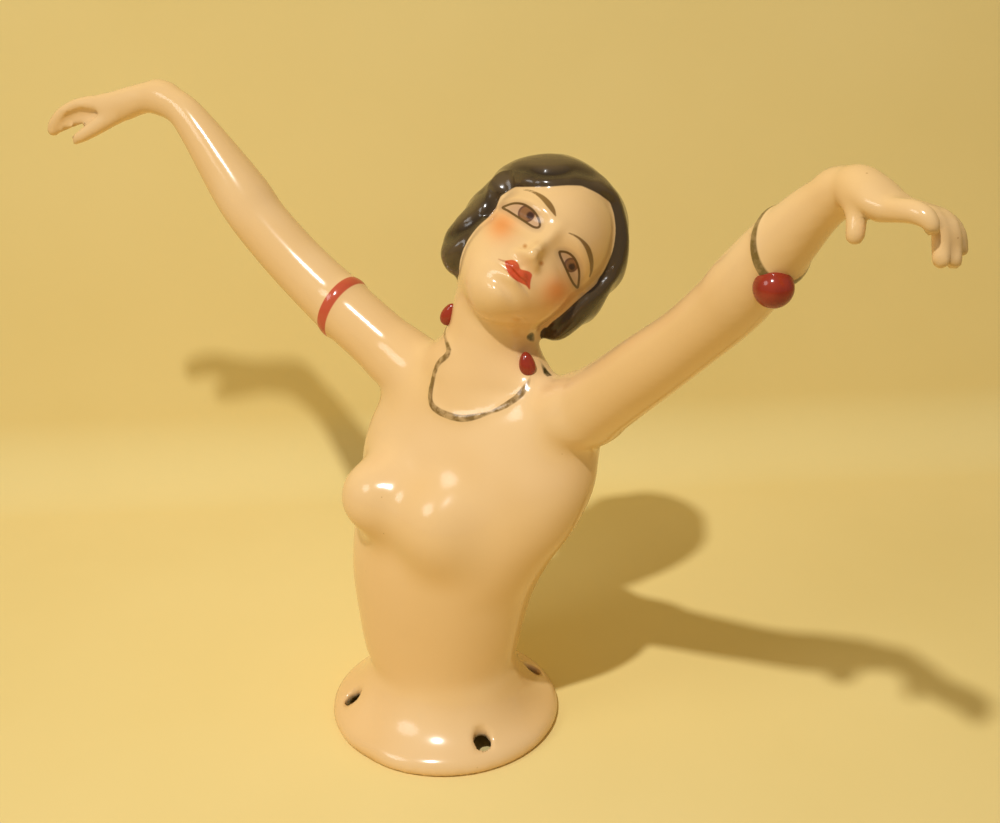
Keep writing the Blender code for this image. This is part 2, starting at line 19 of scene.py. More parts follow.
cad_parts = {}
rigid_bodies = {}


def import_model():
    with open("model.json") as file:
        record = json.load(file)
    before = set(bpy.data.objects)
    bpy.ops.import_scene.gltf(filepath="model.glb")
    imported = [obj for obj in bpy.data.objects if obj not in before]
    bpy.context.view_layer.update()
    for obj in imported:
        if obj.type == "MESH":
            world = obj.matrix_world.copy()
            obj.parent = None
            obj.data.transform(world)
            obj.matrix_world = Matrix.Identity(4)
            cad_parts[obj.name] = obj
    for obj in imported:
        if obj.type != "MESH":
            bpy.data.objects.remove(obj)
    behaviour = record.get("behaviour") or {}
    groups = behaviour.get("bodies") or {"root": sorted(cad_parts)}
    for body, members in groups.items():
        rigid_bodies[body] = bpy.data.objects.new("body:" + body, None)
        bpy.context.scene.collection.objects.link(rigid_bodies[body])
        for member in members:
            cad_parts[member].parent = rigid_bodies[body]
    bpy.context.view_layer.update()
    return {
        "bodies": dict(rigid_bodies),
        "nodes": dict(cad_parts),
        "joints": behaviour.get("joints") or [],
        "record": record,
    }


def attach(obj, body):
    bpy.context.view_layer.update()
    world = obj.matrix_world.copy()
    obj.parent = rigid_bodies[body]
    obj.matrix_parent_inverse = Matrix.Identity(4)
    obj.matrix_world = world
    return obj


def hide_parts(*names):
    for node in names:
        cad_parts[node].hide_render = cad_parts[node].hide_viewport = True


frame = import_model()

MM = 0.001
LOG = logging.getLogger("half_doll")
Socket = bpy.types.NodeSocket
Place = tuple[float, float, float]
Rows = tuple[tuple[float, ...], ...]

# The middle of the foot in the part's own frame.
FOOT_MIDDLE = (-0.35, 1.48)

# Distances that stand for anything farther off, beyond every fillet; the torso's reaches across its width.
FAR = 9.0
WIDE_REACH = 40.0


def smooth_rows(rows: Sequence[Sequence[float]], steps: int = 5, closed: bool = False) -> np.ndarray:
    """Puts more rows between these, on one smooth curve through them all.

    Args:
        rows: Key rows of numbers.
        steps: Rows made for each key row.
        closed: Whether the last row runs on into the first.

    Returns:
        The dense rows.
    """
    keys = np.array(rows, float)
    if closed:
        keys = np.vstack([keys, keys[:1]])
        before, after = np.vstack([keys[-2:-1], keys[:-2]]), np.vstack([keys[2:], keys[1:2]])
    else:
        before = np.vstack([2 * keys[:1] - keys[1:2], keys[:-2]])
        after = np.vstack([keys[2:], 2 * keys[-1:] - keys[-2:-1]])
    share = np.linspace(0, 1, steps, endpoint=False)[:, None, None]
    start, end = keys[:-1], keys[1:]
    curve = 0.5 * (
        2 * start
        + (end - before) * share
        + (2 * before - 5 * start + 4 * end - after) * share**2
        + (3 * start - before - 3 * end + after) * share**3
    )
    return np.vstack([curve.transpose(1, 0, 2).reshape(-1, keys.shape[1]), keys[-1:]])


def join(first: np.ndarray, second: np.ndarray, blend: float) -> np.ndarray:
    """Runs two skins into one, with a fillet about as wide as the blend."""
    share = np.clip(0.5 + 0.5 * (second - first) / blend, 0, 1)
    return second * (1 - share) + first * share - blend * share * (1 - share)


def cut(body: np.ndarray, tool: np.ndarray, blend: float) -> np.ndarray:
    """Takes a tool out of a skin and rounds the edge by the blend."""
    return -join(-body, tool, blend)


def turn(axis: str, degrees: float) -> np.ndarray:
    """A turn about one axis as a 3 x 3 array."""
    return np.array(Matrix.Rotation(math.radians(degrees), 3, axis))


def path_distance(spots: np.ndarray, path: np.ndarray, widths: np.ndarray | None = None) -> np.ndarray:
    """Measures from each spot to a path, less the path's half width there.

    Args:
        spots: Spots in two or three dimensions.
        path: Points along the path.
        widths: Half widths at those points.

    Returns:
        One distance for each spot.
    """
    half = np.zeros(len(path)) if widths is None else widths
    found = np.full(len(spots), 1e9)
    for start, end, low, high in zip(path[:-1], path[1:], half[:-1], half[1:]):
        span = end - start
        gap = spots - start
        share = np.clip(gap @ span / max(span @ span, 1e-12), 0, 1)
        away = np.linalg.norm(gap - share[:, None] * span, axis=1) - low - (high - low) * share
        found = np.minimum(found, away)
    return found


def outline_distance(spots: np.ndarray, corners: np.ndarray) -> np.ndarray:
    """How far each 2-D spot stands outside a closed outline, negative inside.

    Args:
        spots: Spots in two dimensions.
        corners: The outline's corners in order.

    Returns:
        One distance for each spot.
    """
    ring = np.vstack([corners, corners[:1]])
    away = path_distance(spots, ring)
    inside = np.zeros(len(spots), bool)
    for start, end in zip(ring[:-1], ring[1:]):
        span = end - start
        gap = spots - start
        rises = (start[1] > spots[:, 1]) != (end[1] > spots[:, 1])
        inside ^= rises & (gap[:, 0] < span[0] * gap[:, 1] / (span[1] or 1e-9))
    return np.where(inside, -away, away)


def new_object(mesh: bmesh.types.BMesh, name: str) -> bpy.types.Object:
    """Makes a scene object from a bmesh and frees the bmesh.

    Args:
        mesh: The bmesh, which is freed.
        name: The object's name.

    Returns:
        The linked object.
    """
    data = bpy.data.meshes.new(name)
    mesh.to_mesh(data)
    mesh.free()
    made = bpy.data.objects.new(name, data)
    bpy.context.collection.objects.link(made)
    return made


def places(data: bpy.types.Mesh) -> np.ndarray:
    """The vertex positions of a mesh.

    Args:
        data: The mesh to read.

    Returns:
        One row for each vertex.
    """
    found = np.empty(len(data.vertices) * 3)
    data.vertices.foreach_get("co", found)
    return found.reshape(-1, 3)


def place(data: bpy.types.Mesh, points: np.ndarray) -> None:
    """Writes vertex positions into a mesh."""
    data.vertices.foreach_set("co", points.ravel())
    data.update()


def apply_modifiers(made: bpy.types.Object) -> None:
    """Works the object's modifiers into its mesh.

    Args:
        made: The object whose mesh is replaced.
    """
    graph = bpy.context.evaluated_depsgraph_get()
    worked = bpy.data.meshes.new_from_object(made.evaluated_get(graph))
    made.modifiers.clear()
    old, made.data = made.data, worked
    bpy.data.meshes.remove(old)


@dataclass(frozen=True)
class Oval:
    """An ellipsoid given by its centre and half sizes."""

    centre: Place
    size: Place

    def distance(self, points: np.ndarray, grow: float = 0.0) -> np.ndarray:
        """How far each point stands outside the ellipsoid.

        Args:
            points: Points in the oval's frame.
            grow: How much larger the oval is taken.

        Returns:
            One distance for each point.
        """
        offset = points - np.array(self.centre)
        size = np.array(self.size) + grow
        level = np.linalg.norm(offset / size, axis=1)
        slope = np.maximum(np.linalg.norm(offset / size**2, axis=1), 1e-9)
        return level * (level - 1) / slope

    def add_to(self, mesh: bmesh.types.BMesh, frame: Matrix | None = None) -> None:
        """Adds the ellipsoid to a mesh, carried there by a frame."""
        shape = Matrix.Translation(self.centre) @ Matrix.Diagonal((*self.size, 1.0))
        bmesh.ops.create_icosphere(mesh, subdivisions=3, radius=1, matrix=(frame or Matrix()) @ shape)


@dataclass
class Limb:
    """A tapering piece with oval sections.

    Each row holds the centre of a section, its half width and its half depth. The half width lies
    along side, or level where none is given. The sections of a level limb all lie flat.
    """

    rows: Sequence[Sequence[float]]
    side: Place | None = None
    level: bool = False
    sides: int = 20
    axis: np.ndarray = field(init=False)
    radii: np.ndarray = field(init=False)
    facing: np.ndarray = field(init=False)

    def __post_init__(self) -> None:
        """Works out the smooth axis and the half sizes along it."""
        dense = smooth_rows(self.rows)
        along = dense[-1, :3] - dense[0, :3]
        facing = np.array(self.side if self.side else (-along[1], along[0], 0.0))
        self.axis, self.radii = dense[:, :3], dense[:, 3:5]
        self.facing = facing / np.linalg.norm(facing)

    def narrowed(self, wall: float, top: float) -> "Limb":
        """The space left inside the limb by a wall, up to a height."""
        rows = [(*spot, *(size - wall)) for spot, size in zip(self.axis, self.radii) if spot[2] < top]
        return Limb(rows[::3], tuple(self.facing), self.level)

    def frames(self) -> tuple[np.ndarray, np.ndarray, np.ndarray]:
        """The tangent, side and cross directions at every row.

        Returns:
            The tangents, sides and crosses, one row each.
        """
        tangent = np.gradient(self.axis, axis=0)
        if self.level:
            tangent[:] = (0.0, 0.0, 1.0)
        tangent /= np.linalg.norm(tangent, axis=1)[:, None]
        side = self.facing - (tangent @ self.facing)[:, None] * tangent
        side /= np.linalg.norm(side, axis=1)[:, None]
        return tangent, side, np.cross(tangent, side)

    def distance(self, points: np.ndarray, reach: float = FAR) -> np.ndarray:
        """How far each point stands outside the limb; points beyond its reach get that reach.

        Args:
            points: Points in the doll's frame.
            reach: The largest distance that is told apart.

        Returns:
            One distance for each point.
        """
        low = self.axis.min(axis=0) - self.radii.max() - reach
        high = self.axis.max(axis=0) + self.radii.max() + reach
        near = np.flatnonzero(((points > low) & (points < high)).all(axis=1))
        found = np.full(len(points), reach)
        if not len(near):
            return found
        spot = points[near]
        start, span = self.axis[:-1], np.diff(self.axis, axis=0)
        gap = spot[:, None] - start
        if self.level:
            share = np.clip(gap[..., 2] / span[:, 2], 0, 1)
        else:
            share = np.clip((gap * span).sum(axis=2) / (span**2).sum(axis=1), 0, 1)
        apart = (gap - share[..., None] * span) ** 2
        nearest = (apart[..., 2] if self.level else apart.sum(axis=2)).argmin(axis=1)
        share = np.take_along_axis(share, nearest[:, None], axis=1)
        along, sideways, upward = (
            way[nearest] * (1 - share) + way[nearest + 1] * share for way in self.frames()
        )
        radii = self.radii[nearest] * (1 - share) + self.radii[nearest + 1] * share
        gap = spot - start[nearest] - share * span[nearest]
        level = np.sqrt(
            ((gap * sideways).sum(axis=1) / radii[:, 0]) ** 2
            + ((gap * upward).sum(axis=1) / radii[:, 1]) ** 2
            + ((gap * along).sum(axis=1) / radii.min(axis=1)) ** 2
        )
        found[near] = np.linalg.norm(gap, axis=1) * (1 - 1 / np.maximum(level, 1e-6))
        return np.minimum(found, reach)

    def add_to(self, mesh: bmesh.types.BMesh, rounded: bool = False) -> None:
        """Adds the limb to a mesh as bridged rings closed at both ends.

        Args:
            mesh: The mesh that gets the limb.
            rounded: Whether the far end gets a ball.
        """
        edges: list[bmesh.types.BMEdge] = []
        rings: list[list[bmesh.types.BMVert]] = []
        for centre, radii, tangent, side, cross in zip(self.axis, self.radii, *self.frames()):
            shape = Matrix(np.column_stack([side * radii[0], cross * radii[1], tangent]).tolist()).to_4x4()
            shape.translation = centre.tolist()
            ring = bmesh.ops.create_circle(mesh, segments=self.sides, radius=1, matrix=shape)["verts"]
            rings.append(ring)
            edges += list({edge for corner in ring for edge in corner.link_edges})
        bmesh.ops.bridge_loops(mesh, edges=edges)
        for ring in (rings[0], rings[-1]):
            mesh.faces.new(ring)
        if rounded:
            Oval(tuple(self.axis[-1]), (float(self.radii[-1].min()),) * 3).add_to(mesh)


@dataclass(frozen=True)
class Ring:
    """A painted line, slightly raised, where a plane crosses a limb."""

    point: Place
    normal: Place
    width: float
    reach: float = FAR

    def offset(self, points: np.ndarray) -> np.ndarray:
        """How far each point lies outside the line, negative on it.

        Args:
            points: Points in the doll's frame.

        Returns:
            One distance for each point.
        """
        away = points - np.array(self.point)
        normal = np.array(self.normal) / np.linalg.norm(self.normal)
        above = away @ normal
        sideways = np.linalg.norm(away - above[:, None] * normal, axis=1)
        return np.where(sideways < self.reach, np.abs(above) - self.width / 2, FAR)


@dataclass
class Head:
    """The head in its own frame: +X her left, +Y the back, +Z the crown, from between the eyes."""

    scale: float = 0.986
    centre: Place = (11.35, 8.8, 83.0)
    lean: float = -18.5
    back: float = 60.6
    twist: float = 47.8
    hair_thickness: float = 2.1
    face_lean: float = 25.8
    cranium: Oval = Oval((0.0, 0.8, 4.9), (10.3, 12.4, 12.3))
    jaw: Oval = Oval((0.0, -1.6, -3.2), (8.9, 8.8, 9.6))
    chin: Oval = Oval((0.0, -5.6, -9.0), (4.6, 4.8, 4.2))
    hair_mass: Oval = Oval((-0.2, 2.2, 5.8), (11.4, 11.8, 12.0))
    locks: tuple[Oval, ...] = (
        Oval((-4.6, -0.5, 10.6), (6.4, 7.0, 6.4)),
        Oval((10.2, 2.6, 1.0), (3.4, 5.2, 7.2)),
        Oval((-8.2, 3.6, -2.0), (4.8, 5.6, 6.8)),
        Oval((0.6, 7.6, -3.0), (8.2, 5.6, 6.6)),
    )
    wave_pitch: float = 7.0
    wave_height: float = 0.35
    reach: float = 27.0
    # Widths of the fillets between the masses of the skull, the locks, and the hair and the skin.
    skull_blend: float = 3.0
    lock_blend: float = 2.0
    hairline_blend: float = 1.6
    skin_blend: float = 0.8
    relief: Rows = (
        (0.0, 0.4, 1.2, 2.4, 0.6),
        (-0.1, -3.6, 1.25, 1.9, 2.1),
        (-0.1, -4.9, 1.5, 0.8, 0.9),
        (1.5, -5.0, 0.8, 0.7, 0.6),
        (-1.6, -5.0, 0.8, 0.7, 0.6),
        (0.0, -6.6, 0.6, 0.7, -0.25),
        (0.9, -7.4, 0.9, 0.5, 0.6),
        (-0.9, -7.4, 0.9, 0.5, 0.6),
        (0.0, -9.2, 1.5, 0.6, 0.7),
        (0.0, -8.3, 2.8, 0.35, -0.55),
        (0.0, -10.6, 2.4, 0.7, -0.6),
        (0.0, -12.3, 2.4, 1.6, 0.5),
        (5.0, -0.2, 2.7, 1.7, -1.5),
        (-5.0, -0.2, 2.7, 1.7, -1.5),
        (5.2, -0.4, 1.9, 1.0, 1.0),
        (-5.2, -0.4, 1.9, 1.0, 1.0),
        (4.8, 2.9, 3.4, 1.1, 0.5),
        (-4.8, 2.9, 3.4, 1.1, 0.5),
        (5.8, -5.2, 2.6, 2.4, 0.5),
        (-5.8, -5.2, 2.6, 2.4, 0.5),
    )
    hairline: Rows = (
        (9.8, -18.0), (-5.4, -18.0), (-6.2, -9.5), (-7.8, -7.1), (-8.8, -4.2), (-9.2, -0.5),
        (-9.4, 2.5), (-10.6, 4.4), (-9.6, 7.2), (-7.8, 8.7), (-5.4, 10.8), (-3.6, 12.7),
        (-2.0, 14.2), (0.6, 15.2), (3.4, 15.9), (6.0, 15.9), (8.6, 13.4), (10.0, 10.8),
        (10.7, 7.8), (10.8, 4.2), (10.2, 0.0), (9.8, -4.0),
    )
    # How far each front wave stands out or sinks in, its spread, and its route on the plane of the face.
    ridges: tuple[tuple[float, float, Rows], ...] = (
        (0.5, 2.0, ((-11.6, 10.4), (-9.2, 12.5), (-7.0, 14.6), (-4.1, 16.2), (-0.1, 16.6), (3.5, 16.1))),
        (-0.6, 1.0, ((-12.1, 8.2), (-10.1, 9.9), (-7.3, 11.1), (-5.4, 13.0), (-4.4, 15.3), (-2.0, 16.4))),
        (0.45, 0.9, ((-11.6, 7.0), (-9.6, 8.3), (-7.5, 9.5), (-5.8, 11.1), (-4.1, 13.0))),
        (0.4, 1.5, ((-12.3, 8.4), (-12.3, 6.3), (-11.6, 4.0))),
        (-0.55, 1.0, ((-12.6, 3.0), (-10.6, 2.5), (-9.2, 1.7))),
        (0.4, 1.6, ((-12.4, 1.7), (-12.4, -0.2), (-12.4, -2.2))),
        (-0.6, 1.0, ((-9.3, 0.9), (-10.1, -1.5), (-10.7, -3.8), (-11.5, -6.1))),
        (0.35, 1.8, ((-9.4, -3.8), (-9.9, -6.0), (-10.2, -8.0))),
    )

    def frame(self) -> np.ndarray:
        """The turn that carries the head's frame into the doll's."""
        return turn("Z", self.lean) @ turn("X", -self.back) @ turn("Z", self.twist)

    def matrix(self) -> Matrix:
        """The same turn with the head's place and scale, for adding shapes to a mesh.

        Returns:
            The matrix from the head's frame to the doll's.
        """
        shape = Matrix((self.frame() * self.scale).tolist()).to_4x4()
        shape.translation = self.centre
        return shape

    def local(self, points: np.ndarray) -> np.ndarray:
        """Points in the head's own frame."""
        return (points - np.array(self.centre)) @ self.frame() / self.scale

    def face_spots(self, local: np.ndarray) -> tuple[np.ndarray, np.ndarray]:
        """Places on a plane that leans back with the face.

        Args:
            local: Points in the head's frame.

        Returns:
            Across and up on the plane, and how far each point stands out from it.
        """
        lean = math.radians(self.face_lean)
        up = local[:, 2] * math.cos(lean) - local[:, 1] * math.sin(lean)
        toward = -local[:, 1] * math.cos(lean) - local[:, 2] * math.sin(lean)
        return np.stack([local[:, 0], up], axis=1), toward

    def skull(self, local: np.ndarray) -> np.ndarray:
        """The bare head with the relief of its features.

        Args:
            local: Points in the head's frame.

        Returns:
            One distance for each point.
        """
        skull = join(self.cranium.distance(local), self.jaw.distance(local), self.skull_blend)
        height = np.zeros(len(local))
        for x, z, across, up, rise in self.relief:
            height += rise * np.exp(-(((local[:, 0] - x) / across) ** 2) - ((local[:, 2] - z) / up) ** 2)
        # The relief fades in over the front 4 mm of the face.
        height *= np.clip(-local[:, 1] / 4.0, 0, 1)
        return join(skull, self.chin.distance(local), self.skull_blend) - height

    def waves(self, local: np.ndarray) -> np.ndarray:
        """How far the waves stand out of the hair: listed ones in front, even finger waves behind.

        Args:
            local: Points in the head's frame.

        Returns:
            One height for each point.
        """
        spots, toward = self.face_spots(local)
        phase = (local[:, 2] + 0.35 * np.abs(local[:, 0])) / self.wave_pitch
        behind = self.wave_height * np.cos(2 * math.pi * phase)
        front = np.zeros(len(local))
        for rise, spread, path in self.ridges:
            front += rise * np.exp(-((path_distance(spots, np.array(path)) / spread) ** 2))
        # The edge of the hair keeps its thickness, so the waves die out towards it.
        front *= np.clip(outline_distance(spots, np.array(self.hairline)) / self.hairline_blend, 0, 1)
        share = np.clip((toward + 4) / 4, 0, 1)
        return front * share + behind * (1 - share)

    def hair(self, local: np.ndarray) -> np.ndarray:
        """The bobbed hair: waved masses with the face left open below the hairline.

        Args:
            local: Points in the head's frame.

        Returns:
            One distance for each point.
        """
        mass = self.hair_mass.distance(local, self.hair_thickness)
        for lock in self.locks:
            mass = join(mass, lock.distance(local), self.lock_blend)
        mass = mass - self.waves(local)
        spots, toward = self.face_spots(local)
        opening = outline_distance(spots, np.array(self.hairline))
        return cut(mass, np.maximum(opening, 0.6 - toward), self.hairline_blend)

    def distance(self, points: np.ndarray) -> np.ndarray:
        """How far each point stands outside the head; far points get a plain large number.

        Args:
            points: Points in the doll's frame.

        Returns:
            One distance for each point.
        """
        found = np.full(len(points), FAR)
        near = np.flatnonzero(np.linalg.norm(points - np.array(self.centre), axis=1) < self.reach)
        if len(near):
            local = self.local(points[near])
            found[near] = join(self.skull(local), self.hair(local), self.skin_blend) * self.scale
        return found

    def add_to(self, mesh: bmesh.types.BMesh) -> None:
        """Adds the rough head and hair to a mesh."""
        for shape in (self.cranium, self.jaw, self.chin, self.hair_mass, *self.locks):
            shape.add_to(mesh, self.matrix())


@dataclass
class Foot:
    """The foot: the waist flares out to a thin round rim, worn flat at one spot, with four sewing holes."""

    diameter: float = 40.0
    waist: tuple[float, float] = (13.3, 11.6)
    # Height above the foot plane, then the share of the spread from waist to rim reached there.
    flare: Rows = (
        (-3.0, 0.93), (0.0, 0.95), (0.7, 0.99), (1.4, 1.0), (2.1, 0.96), (2.8, 0.86), (3.6, 0.7), (4.6, 0.52),
        (6.2, 0.32), (8.4, 0.14), (10.6, 0.05),
    )
    hole_diameter: float = 3.0
    hole_circle: float = 33.0
    hole_depth: float = 6.0
    hole_angles: tuple[float, ...] = (-38.0, -142.0, 48.0, 132.0)
    nick_length: float = 8.0
    nick_angle: float = -103.0

    def rows(self) -> Rows:
        """The sections of the flare, from below the foot plane up to the waist.

        Returns:
            Rows as a limb takes them.
        """
        rim, (width, depth) = self.diameter / 2, self.waist
        return tuple(
            (0.0, 0.0, height, width + (rim - width) * share, depth + (rim - depth) * share)
            for height, share in self.flare
        )

    def nick(self, points: np.ndarray) -> np.ndarray:
        """How far each point of the rim lies inside the chord of the worn spot.

        Args:
            points: Points in the doll's frame.

        Returns:
            One distance for each point.
        """
        angle = math.radians(self.nick_angle)
        chord = math.sqrt(self.diameter**2 - self.nick_length**2) / 2
        flat = chord - points[:, 0] * math.cos(angle) - points[:, 1] * math.sin(angle)
        return np.where(points[:, 2] < self.flare[-1][0], flat, FAR)

    def holes(self, points: np.ndarray) -> np.ndarray:
        """How far each point lies outside the nearest sewing hole.

        Args:
            points: Points in the doll's frame.

        Returns:
            One distance for each point.
        """
        found = np.full(len(points), FAR)
        for angle in self.hole_angles:
            x, y = self.hole_place(angle)
            away = np.hypot(points[:, 0] - x, points[:, 1] - y) - self.hole_diameter / 2
            found = np.minimum(found, np.maximum(away, np.abs(points[:, 2]) - self.hole_depth))
        return found

    def hole_place(self, angle: float) -> tuple[float, float]:
        """Where the hole at this angle stands."""
        radius = self.hole_circle / 2
        return radius * math.cos(math.radians(angle)), radius * math.sin(math.radians(angle))

    def add_pins(self, mesh: bmesh.types.BMesh) -> None:
        """Adds a pin at every sewing hole, for cutting.

        Args:
            mesh: The mesh that gets the pins.
        """
        for angle in self.hole_angles:
            bmesh.ops.create_cone(
                mesh, cap_ends=True, segments=20, radius1=self.hole_diameter / 2,
                radius2=self.hole_diameter / 2, depth=2 * self.hole_depth,
                matrix=Matrix.Translation((*self.hole_place(angle), 0)),
            )


@dataclass
class Jewellery:
    """The moulded and painted jewellery: necklace, armlet, bangle and the gilt behind the left ear drop."""

    raised: float = 0.35
    armlet: Ring = Ring((-22.7, 6.5, 70.5), (-0.924, 0.115, 0.364), 1.8, 8.0)
    bangle: Ring = Ring((59.2, -17.4, 100.1), (0.73, -0.55, 0.4), 1.1, 8.0)
    necklace_width: float = 1.1
    necklace: Rows = (
        (3.1, -2.1, 70.2), (1.2, -2.5, 67.6), (0.5, -3.3, 64.3), (0.6, -4.4, 62.3), (1.8, -5.0, 61.2),
        (4.8, -5.7, 60.8), (7.9, -5.8, 61.0), (11.6, -5.1, 62.5), (14.5, -3.2, 64.2), (16.0, -1.0, 65.9),
        (15.6, 2.4, 68.2), (12.9, 7.6, 70.0), (6.6, 11.2, 71.4), (0.4, 8.0, 72.0), (0.2, 2.4, 71.8),
    )
    ear_gilt_width: float = 1.3
    ear_gilt: Rows = (
        (14.7, 3.2, 72.9), (15.4, 4.9, 71.6), (16.0, 4.8, 70.2), (16.7, 4.0, 69.3), (17.4, 3.4, 68.3),
        (18.2, 2.5, 67.6),
    )

    def ear_gilt_offset(self, points: np.ndarray) -> np.ndarray:
        """How far each point lies outside the gilt strip behind the left ear drop."""
        return path_distance(points, np.array(self.ear_gilt)) - self.ear_gilt_width / 2

    def necklace_offset(self, points: np.ndarray) -> np.ndarray:
        """How far each point lies outside the necklace line.

        Args:
            points: Points in the doll's frame.

        Returns:
            One distance for each point.
        """
        found = np.full(len(points), FAR)
        near = np.flatnonzero(
            (points[:, 2] > 57) & (points[:, 2] < 76) & (points[:, 0] > -5) & (points[:, 0] < 22)
        )
        if len(near):
            path = smooth_rows(self.necklace, 4, closed=True)
            found[near] = path_distance(points[near], path) - self.necklace_width / 2
        return found

    def offsets(self, points: np.ndarray) -> tuple[np.ndarray, ...]:
        """How far each point lies outside the armlet, the bangle and the necklace."""
        return self.armlet.offset(points), self.bangle.offset(points), self.necklace_offset(points)

    def height(self, points: np.ndarray) -> np.ndarray:
        """How far the lines stand out of the skin.

        Args:
            points: Points in the doll's frame.

        Returns:
            One height for each point.
        """
        widths = (self.armlet.width, self.bangle.width, self.necklace_width)
        return sum(
            self.raised * np.exp(-(((away + width / 2) / (0.62 * width)) ** 2))
            for away, width in zip(self.offsets(points), widths)
        )


@dataclass
class PaintedFace:
    """The painted features, each an outline across and up on the leaning plane of the face."""

    right_eye: Rows = (
        (-8.55, 3.3), (-8.31, 3.96), (-7.99, 4.54), (-7.6, 5.04), (-6.99, 5.54), (-6.26, 5.91),
        (-5.36, 6.11), (-4.53, 6.14), (-3.59, 5.95), (-2.82, 5.6), (-2.33, 5.2), (-2.29, 4.81),
        (-2.63, 4.49), (-3.19, 4.28), (-4.31, 4.09), (-5.42, 3.89), (-6.54, 3.7), (-7.66, 3.5),
    )
    left_eye: Rows = (
        (2.64, 4.31), (2.8, 4.6), (3.31, 4.98), (3.95, 5.22), (4.78, 5.25), (5.66, 5.01), (6.54, 4.55),
        (7.28, 3.95), (7.89, 3.24), (8.48, 2.4), (8.03, 2.3), (7.26, 2.43), (6.32, 2.73), (5.11, 3.2),
        (3.9, 3.67), (3.19, 3.96),
    )
    irises: Rows = ((-5.1, 5.1, 1.35), (5.3, 4.15, 1.15))
    pupils: Rows = ((-4.5, 5.3, 0.62), (5.6, 4.05, 0.6))
    brows: tuple[Rows, ...] = (
        ((-8.2, 7.5, 0.05), (-7.2, 8.1, 0.12), (-6.1, 8.45, 0.22), (-4.9, 8.6, 0.36), (-3.6, 8.5, 0.44),
         (-2.5, 8.25, 0.34), (-1.6, 7.9, 0.08)),
        ((1.7, 7.4, 0.05), (2.6, 7.75, 0.12), (3.75, 7.95, 0.2), (5.2, 7.8, 0.36), (6.45, 7.25, 0.38),
         (7.5, 6.5, 0.3), (8.25, 5.7, 0.2), (8.7, 4.9, 0.08)),
    )
    lips: Rows = (
        (-2.4, -2.35), (-2.05, -1.81), (-1.63, -1.4), (-1.01, -1.2), (-0.46, -1.32), (0.08, -1.6),
        (0.57, -1.38), (1.21, -1.03), (1.76, -0.95), (2.1, -1.16), (2.35, -1.66), (2.8, -2.3),
        (3.3, -2.85), (2.72, -2.84), (2.27, -2.87), (1.49, -3.14), (0.59, -3.34), (-0.46, -3.37),
        (-1.4, -3.07), (-1.95, -2.72),
    )
    mouth: Rows = (
        (-3.3, -2.8, 0.05), (-2.7, -2.55, 0.1), (-2.2, -2.3, 0.12), (-1.4, -2.3, 0.1), (0.0, -2.45, 0.1),
        (0.9, -2.5, 0.1), (1.9, -2.4, 0.12), (3.2, -2.9, 0.05),
    )
    nostrils: Rows = ((-1.77, 1.35, 0.34), (1.8, 1.15, 0.4))
    blushes: Rows = ((-6.7, 1.2, 2.3), (6.6, -0.2, 2.4))

    def marks(self, spots: np.ndarray) -> dict[str, np.ndarray]:
        """Measures every painted feature.

        Args:
            spots: Places across and up on the plane of the face.

        Returns:
            For each feature, how far the spots lie outside it, or the strength of a soft tint.
        """
        eyes = np.minimum(
            outline_distance(spots, smooth_rows(self.right_eye, 3, closed=True)),
            outline_distance(spots, smooth_rows(self.left_eye, 3, closed=True)),
        )
        strokes = [
            path_distance(spots, rows[:, :2], rows[:, 2])
            for rows in (smooth_rows(stroke, 4) for stroke in (*self.brows, self.mouth))
        ]
        return {
            "eye": eyes,
            "iris": self.nearest(spots, self.irises),
            "pupil": self.nearest(spots, self.pupils),
            "brow": np.minimum(strokes[0], strokes[1]),
            "mouth": strokes[2],
            "lips": outline_distance(spots, smooth_rows(self.lips, 2, closed=True)),
            "nostril": self.nearest(spots, self.nostrils),
            "blush": sum(
                np.exp(-(((spots - (x, up)) ** 2).sum(axis=1)) / spread**2) for x, up, spread in self.blushes
            ),
        }

    @staticmethod
    def nearest(spots: np.ndarray, rounds: Iterable[Place]) -> np.ndarray:
        """How far each spot lies outside the nearest of these circles."""
        gaps = [np.linalg.norm(spots - (x, up), axis=1) - radius for x, up, radius in rounds]
        return np.minimum.reduce(gaps)


